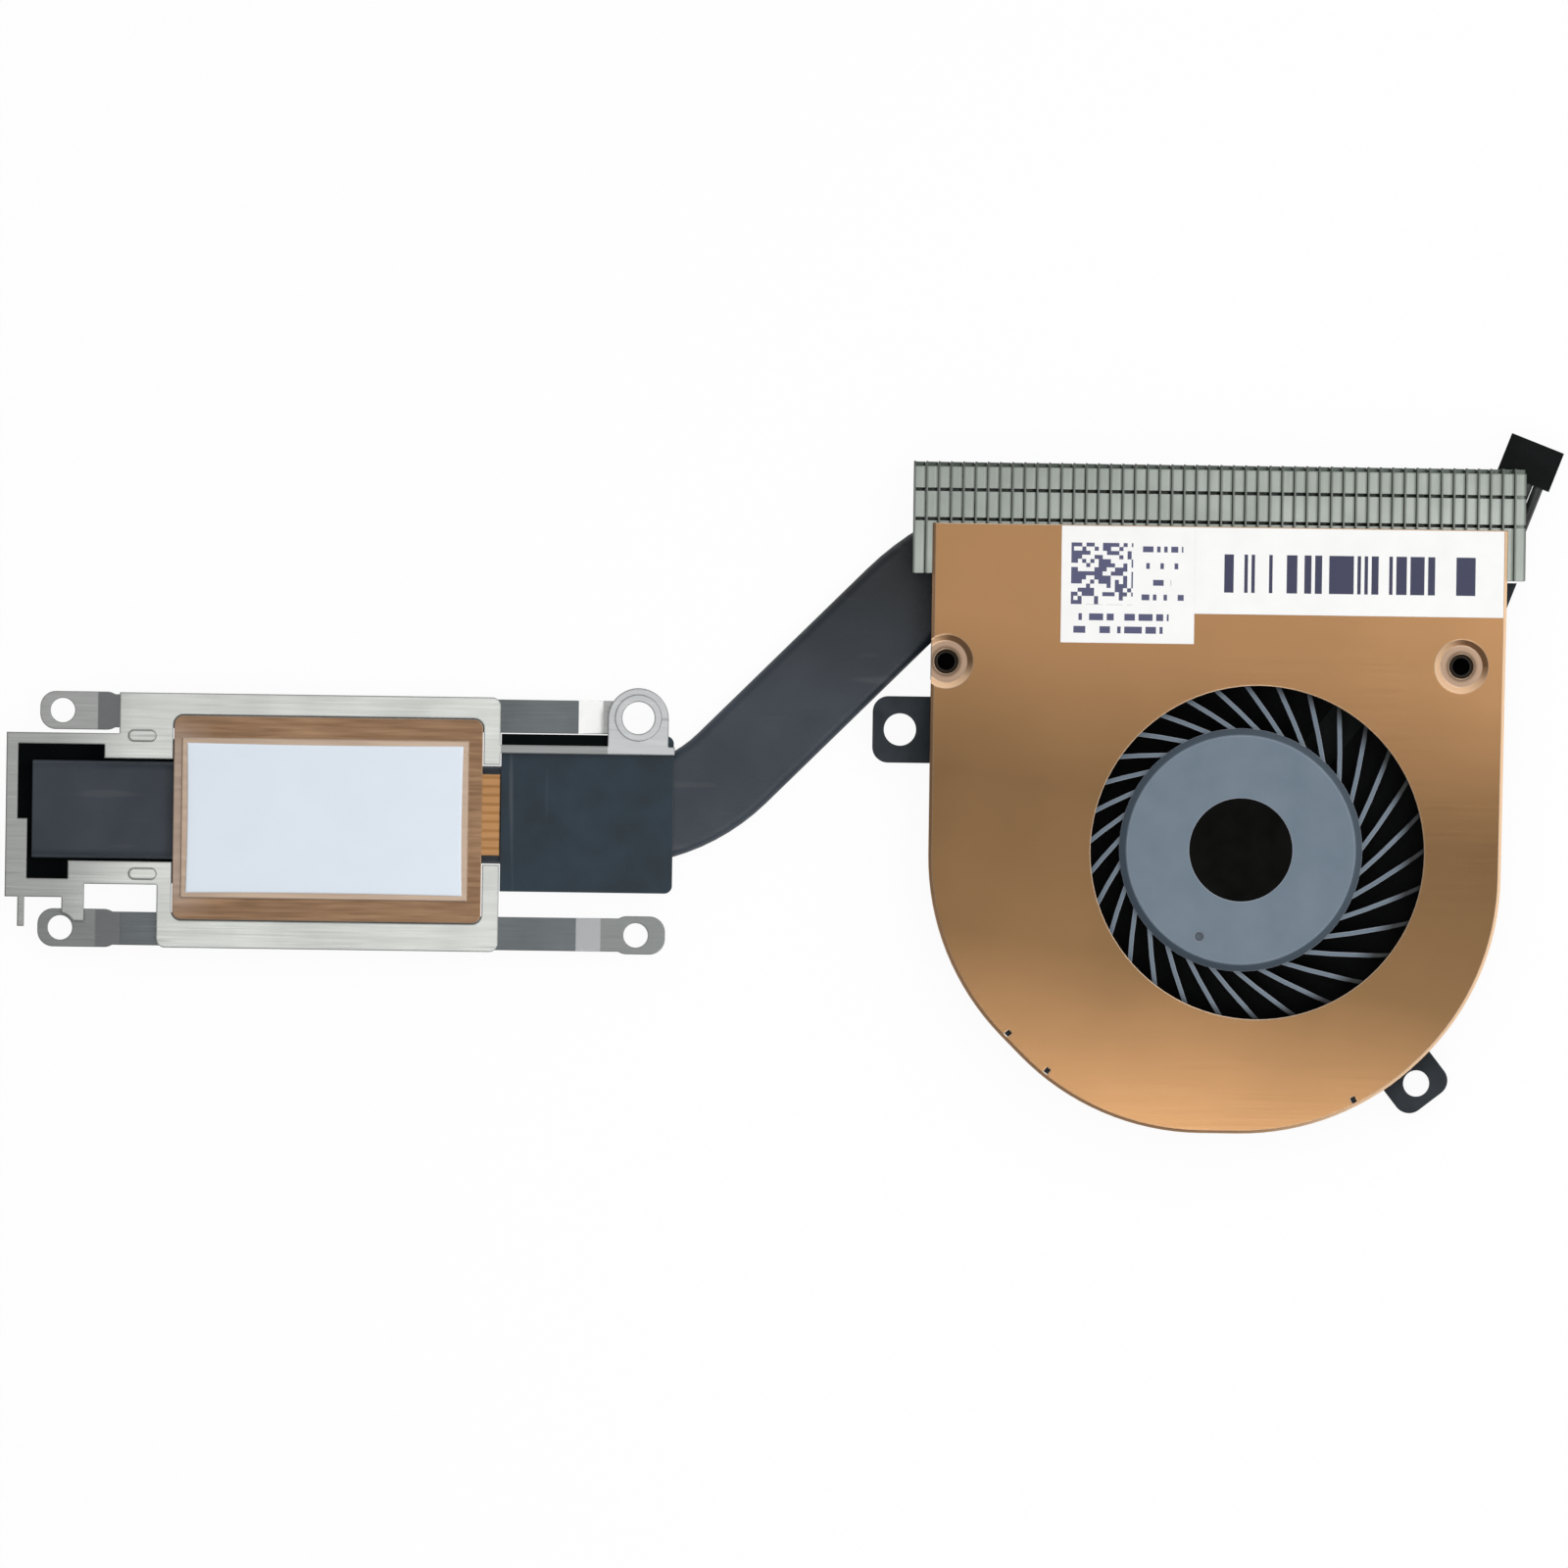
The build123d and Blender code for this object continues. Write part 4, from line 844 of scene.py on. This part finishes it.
# Insulating film: the black sheet behind the free end of the heat pipe, and a strip on the pipe plate.
# Matt black plastic film, a guessed part that also stands for the deep shade in the frame's well and in the
# gap beside the frame, where it looks like a dark hole.
# The sheet is glued to the underside of the pipe's end, the strip to the plate beside the frame.
SHADE_FILM = {
    "tints": ((0.0026, 0.0036, 0.0040, 1), (0.0040, 0.0054, 0.0060, 1)),
    "radius": 0.04 * MM,
    "scale": 7000.0,
    "rough": (0.75, 0.9),
    "relief": (0.01 * MM, 0.3),
}
FILM_SHINE = 0.02
# The black film stands in for the deep shade seen in the well and in the gap
shader = grained("shade_black_film", [nodes["insulating_film"]], **SHADE_FILM)
shader.inputs["Specular IOR Level"].default_value = FILM_SHINE

# Cold plate: the copper plate that takes the heat of the chip, with a tongue and a raised land.
# Bare copper, machined: satin, a little brown, paler towards its left end beside the pad, with a painted
# highlight on its edges and land.
# It is soldered to the flat of the heat pipe and held in the frame's window.
COPPER_LIT = (0.43, 0.262, 0.155, 1)
COPPER_BROWN = (0.29, 0.172, 0.098, 1)
COPPER_STREAK_SPAN = (0.35, 0.65)
COPPER_STREAK_SHARE = 0.6
COPPER_CLOUD_SHARE = 0.4
COPPER_EDGE_HIGHLIGHT = (0.66, 0.50, 0.38, 1)
COPPER_PALE_END = (0.54, 0.415, 0.335, 1)
PALE_END_X = (0.84 * MM, 4.2 * MM)
PALE_END_Y_SHARE = 0.7
PALE_END_SHARE = 0.9
TONGUE_TINT = (0.56, 0.295, 0.125, 1)
TONGUE_RIB = (0.42, 0.21, 0.080, 1)
TONGUE_X = (1.9 * MM, 1.7 * MM)
RIB_PITCH = 0.9 * MM
RIB_SPAN = (0.2, 0.5)
LAND_Z = (0.18 * MM, 0.09 * MM)
COPPER_EDGE = 0.16 * MM
COPPER_GRAIN = 3600.0
COPPER_BRUSH = (160.0, 2600.0, 2600.0)
COPPER_ROUGH = (0.30, 0.46)
COPPER_RELIEF = (0.012 * MM, 0.35)
copper_low, copper_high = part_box("cold_plate")
copper_half = (copper_high.y - copper_low.y) / 2
tree, shader = surface("bare_copper", nodes["cold_plate"])
edge = place_group(tree, soft_edge, Radius=COPPER_EDGE)
skin = place_group(tree, grain, Scale=COPPER_GRAIN)
brush = place_group(tree, brushing, Along=COPPER_BRUSH)
axes = part_axes(tree)
ribs = mix_tint(tree, ramp(tree, stripes(tree, axes["Y"], RIB_PITCH), *RIB_SPAN), TONGUE_RIB, TONGUE_TINT)
on_tongue = ramp(tree, axes["X"], *(copper_high.x - reach for reach in TONGUE_X))
on_land = ramp(tree, axes["Z"], *(copper_high.z - depth for depth in LAND_Z))
streaky = reckon(tree, "MULTIPLY", ramp(tree, brush["Lines"], *COPPER_STREAK_SPAN), COPPER_STREAK_SHARE)
streaky = reckon(tree, "ADD", streaky, reckon(tree, "MULTIPLY", skin["Cloud"], COPPER_CLOUD_SHARE))
tint = mix_tint(tree, streaky, COPPER_LIT, COPPER_BROWN)
# Paler towards the left end, in the band beside the pad
near_end = ramp(tree, axes["X"], *(copper_low.x + reach for reach in PALE_END_X), PALE_END_SHARE, 0.0)
off_middle = reckon(tree, "ABSOLUTE", reckon(tree, "SUBTRACT", axes["Y"], copper_low.y + copper_half))
beside_pad = ramp(tree, off_middle, PALE_END_Y_SHARE * copper_half, copper_half, 1.0, 0.0)
tint = mix_tint(tree, reckon(tree, "MULTIPLY", near_end, beside_pad), tint, COPPER_PALE_END)
# Painted highlight on the plate's edges and its raised land
tint = mix_tint(tree, reckon(tree, "MAXIMUM", on_land, edge["Edge"]), tint, COPPER_EDGE_HIGHLIGHT)
set_sockets(tree, shader, {
    "Base Color": mix_tint(tree, on_tongue, tint, ribs),
    "Metallic": 1.0,
    "Roughness": roughness(tree, brush["Lines"], *COPPER_ROUGH),
    "Normal": bump(tree, brush["Lines"], edge["Normal"], *COPPER_RELIEF),
})

# Thermal pad: the soft pale sheet that is squeezed between the copper land and the chip.
# Filled silicone, cut with a knife: a slightly crowned face, soft rounded borders and faint dents.
# It sticks to the land by its own tack.
PAD_BORDER = (0.0, 0.02, 0.05, 0.09, 0.14, 0.20)
PAD_STEP = 0.55 * MM
PAD_ROUND = 0.20 * MM
PAD_BOW = 0.10 * MM
PAD_WALL = 0.3
PAD_DENT = 0.05
PAD_DENT_SCALE = 320
PAD_TINT = (0.760, 0.830, 0.910, 1)
PAD_SHADE = (0.742, 0.815, 0.898, 1)
PAD_GRAIN = 5200.0
PAD_ROUGH = (0.50, 0.66)
PAD_RELIEF = (0.015 * MM, 0.25)
pad_low, pad_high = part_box("thermal_pad")
pad_mid = (pad_low + pad_high) / 2
pad_half = (pad_high - pad_low) / 2


def pad_stations(half):
    """Distances from the pad's middle: close together at the border, even across the face."""
    border = [half - gap * MM for gap in PAD_BORDER]
    count = int(2 * border[-1] / PAD_STEP)
    inner = [border[-1] * (2 * index / count - 1) for index in range(1, count)]
    return [-value for value in border] + inner + border[::-1]


def pad_point(x, y):
    """Point of the pad's upper face: sides that pull in between the corners, rounded at the border."""
    gap = min(pad_half.x - abs(x), pad_half.y - abs(y)) / PAD_ROUND
    rise = math.sqrt(max(0.0, 1 - (1 - min(gap, 1.0)) ** 2))
    dent = PAD_DENT * (noise.noise(Vector((x, y, 0)) * PAD_DENT_SCALE) - 1) / 2
    share = PAD_WALL + (1 - PAD_WALL) * rise * (1 + dent)
    in_x = 1 - PAD_BOW / pad_half.x * (1 - (y / pad_half.y) ** 2)
    in_y = 1 - PAD_BOW / pad_half.y * (1 - (x / pad_half.x) ** 2)
    return Vector((pad_mid.x + x * in_x, pad_mid.y + y * in_y, pad_low.z + 2 * pad_half.z * share))


pad_form = bmesh.new()
columns = pad_stations(pad_half.x)
rows = pad_stations(pad_half.y)
face = [[pad_form.verts.new(pad_point(x, y)) for x in columns] for y in rows]
for lower, upper in zip(face, face[1:]):
    for index in range(len(columns) - 1):
        pad_form.faces.new((lower[index], lower[index + 1], upper[index + 1], upper[index]))
border = face[0][:-1] + [row[-1] for row in face[:-1]] + face[-1][:0:-1] + [row[0] for row in face[:0:-1]]
foot = [pad_form.verts.new((vert.co.x, vert.co.y, pad_low.z)) for vert in border]
for index in range(len(border)):
    pad_form.faces.new((border[index - 1], foot[index - 1], foot[index], border[index]))
pad_form.faces.new(foot[::-1])
soft_pad = formed_piece("soft_pad", pad_form)
soft_pad.data.polygons.foreach_set("use_smooth", [True] * len(soft_pad.data.polygons))
tree, shader = surface("filled_silicone", soft_pad)
skin = place_group(tree, grain, Scale=PAD_GRAIN)
normal = place(tree, "NewGeometry", {}).outputs["Normal"]
set_sockets(tree, shader, {
    "Base Color": mix_tint(tree, skin["Cloud"], PAD_TINT, PAD_SHADE),
    "Roughness": roughness(tree, skin["Fine"], *PAD_ROUGH),
    "Normal": bump(tree, skin["Fine"], normal, *PAD_RELIEF),
})
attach(soft_pad, "chassis")
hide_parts("thermal_pad")

# Frame: the stamped steel frame round the cold plate, with its well, finger, strip and screw tab.
# Bright nickel over steel, warm white, with a fine rolled surface and a few handling marks; painted shade
# darkens its edges, its strip, its tab with the eyelet, and its left end.
# The eyelet through its tab has the same plating and is flared over after fitting.
NICKEL_LIT = (0.80, 0.815, 0.78, 1)
NICKEL_DULL = (0.68, 0.70, 0.665, 1)
NICKEL_MARK_AND_EDGE_SHADE = (0.24, 0.245, 0.24, 1)
NICKEL_STRIP_SHADE = (0.36, 0.37, 0.37, 1)
NICKEL_TAB_SHADE = (0.62, 0.635, 0.645, 1)
NICKEL_END_SHADE = (0.46, 0.47, 0.455, 1)
STRIP_X = (-75.6 * MM, -64.7 * MM)
END_X = (-113 * MM, -121 * MM)
MARK_SHARE = 0.35
NICKEL_EDGE = 0.24 * MM
NICKEL_GRAIN = 3800.0
NICKEL_BRUSH = (140.0, 6000.0, 6000.0)
NICKEL_ROUGH = (0.26, 0.42)
NICKEL_RELIEF = (0.008 * MM, 0.3)
tree, shader = surface("nickel_plate", nodes["mounting_frame"], nodes["tab_eyelet"])
edge = place_group(tree, soft_edge, Radius=NICKEL_EDGE)
skin = place_group(tree, grain, Scale=NICKEL_GRAIN)
brush = place_group(tree, brushing, Along=NICKEL_BRUSH)
along = part_axes(tree)["X"]
marked = reckon(tree, "MULTIPLY", brush["Scratches"], MARK_SHARE)
tint = mix_tint(tree, skin["Cloud"], NICKEL_LIT, NICKEL_DULL)
# Painted shade on the tab with its eyelet, on the left end and on the strip
tint = mix_tint(tree, reckon(tree, "GREATER_THAN", along, STRIP_X[1]), tint, NICKEL_TAB_SHADE)
tint = mix_tint(tree, ramp(tree, along, *END_X), tint, NICKEL_END_SHADE)
# Handling marks, and painted shade along every edge
tint = mix_tint(tree, reckon(tree, "MAXIMUM", marked, edge["Edge"]), tint, NICKEL_MARK_AND_EDGE_SHADE)
set_sockets(tree, shader, {
    "Base Color": mix_tint(tree, within(tree, along, *STRIP_X), tint, NICKEL_STRIP_SHADE),
    "Metallic": 1.0,
    "Roughness": roughness(tree, brush["Lines"], *NICKEL_ROUGH),
    "Normal": bump(tree, brush["Lines"], edge["Normal"], *NICKEL_RELIEF),
})

# Spring arms: two stamped leaf springs under the long edges of the plate, with a screw hole at each end.
# Bare grey spring steel, satin, paler along the cut edges, with painted reflection on the ears and on the
# bends, brighter on the far arm and near-white on its bend towards the tab.
# They are gripped between the plate and the frame, and press the plate onto the chip.
ARM_TINT = (0.185, 0.205, 0.215, 1)
ARM_DARK = (0.145, 0.160, 0.168, 1)
ARM_EAR_FAR_REFLECTION = (0.465, 0.473, 0.465, 1)
ARM_EAR_NEAR_REFLECTION = (0.290, 0.305, 0.300, 1)
ARM_EAR_Z = 1.75 * MM
ARM_EDGE_TINT = (0.34, 0.35, 0.345, 1)
ARM_SLOPE_BRIGHT_REFLECTION = (0.94, 0.94, 0.93, 1)
ARM_SLOPE_DIM_REFLECTION = (0.39, 0.40, 0.41, 1)
ARM_SLOPE_UPRIGHT = (0.960, 0.984)
ARM_MID_X = -91.0 * MM
ARM_MID_Y = 0.0
ARM_EDGE = 0.18 * MM
ARM_GRAIN = 4200.0
ARM_BRUSH = (150.0, 5200.0, 5200.0)
ARM_ROUGH = (0.28, 0.44)
ARM_RELIEF = (0.012 * MM, 0.35)
tree, shader = surface("spring_steel", nodes["upper_spring_arm"], nodes["lower_spring_arm"])
edge = place_group(tree, soft_edge, Radius=ARM_EDGE)
skin = place_group(tree, grain, Scale=ARM_GRAIN)
brush = place_group(tree, brushing, Along=ARM_BRUSH)
axes = part_axes(tree)
outward = place(tree, "NewGeometry", {}).outputs["True Normal"]
upright = place(tree, "SeparateXYZ", {"Vector": outward}).outputs["Z"]
on_ear = reckon(tree, "LESS_THAN", axes["Z"], ARM_EAR_Z)
far_side = reckon(tree, "GREATER_THAN", axes["Y"], ARM_MID_Y)
to_tab = reckon(tree, "MULTIPLY", far_side, reckon(tree, "GREATER_THAN", axes["X"], ARM_MID_X))
# Painted reflection on the bends: near-white on the far arm towards the tab, paler grey elsewhere
slope_reflection = mix_tint(tree, to_tab, ARM_SLOPE_DIM_REFLECTION, ARM_SLOPE_BRIGHT_REFLECTION)
tint = mix_tint(tree, skin["Cloud"], ARM_TINT, ARM_DARK)
# Painted reflection on the ears, brighter on the far arm
tint = mix_tint(tree, on_ear, tint, mix_tint(tree, far_side, ARM_EAR_NEAR_REFLECTION, ARM_EAR_FAR_REFLECTION))
tint = mix_tint(tree, edge["Edge"], tint, ARM_EDGE_TINT)
set_sockets(tree, shader, {
    "Base Color": mix_tint(tree, within(tree, upright, *ARM_SLOPE_UPRIGHT), tint, slope_reflection),
    "Metallic": 1.0,
    "Roughness": roughness(tree, brush["Lines"], *ARM_ROUGH),
    "Normal": bump(tree, brush["Lines"], edge["Normal"], *ARM_RELIEF),
})

# Pipe plate: the dark cover plate on the heat pipe beside the cold plate.
# Thin steel with a blue-grey coating, finely speckled, with a few pale scuffs across it.
# It is bonded to the pipe and butts against the frame's tab.
PLATE_DARK = (0.0030, 0.0165, 0.0285, 1)
PLATE_PALE = (0.0070, 0.0270, 0.0470, 1)
PLATE_SCUFF = (0.10, 0.110, 0.125, 1)
PLATE_SCUFF_SHARE = 0.4
PLATE_EDGE_SHARE = 0.5
PLATE_EDGE = 0.10 * MM
PLATE_GRAIN = 7000.0
PLATE_BRUSH = (2600.0, 170.0, 2600.0)
PLATE_ROUGH = (0.40, 0.58)
PLATE_RELIEF = (0.02 * MM, 0.35)
tree, shader = surface("plate_coating", nodes["pipe_plate"])
edge = place_group(tree, soft_edge, Radius=PLATE_EDGE)
skin = place_group(tree, grain, Scale=PLATE_GRAIN)
brush = place_group(tree, brushing, Along=PLATE_BRUSH)
tint = mix_tint(tree, skin["Cloud"], PLATE_DARK, PLATE_PALE)
scuffed = reckon(tree, "MULTIPLY", brush["Scratches"], PLATE_SCUFF_SHARE)
worn = reckon(tree, "MAXIMUM", scuffed, reckon(tree, "MULTIPLY", edge["Edge"], PLATE_EDGE_SHARE))
set_sockets(tree, shader, {
    "Base Color": mix_tint(tree, worn, tint, PLATE_SCUFF),
    "Roughness": roughness(tree, skin["Fine"], *PLATE_ROUGH),
    "Normal": bump(tree, skin["Fine"], edge["Normal"], *PLATE_RELIEF),
})
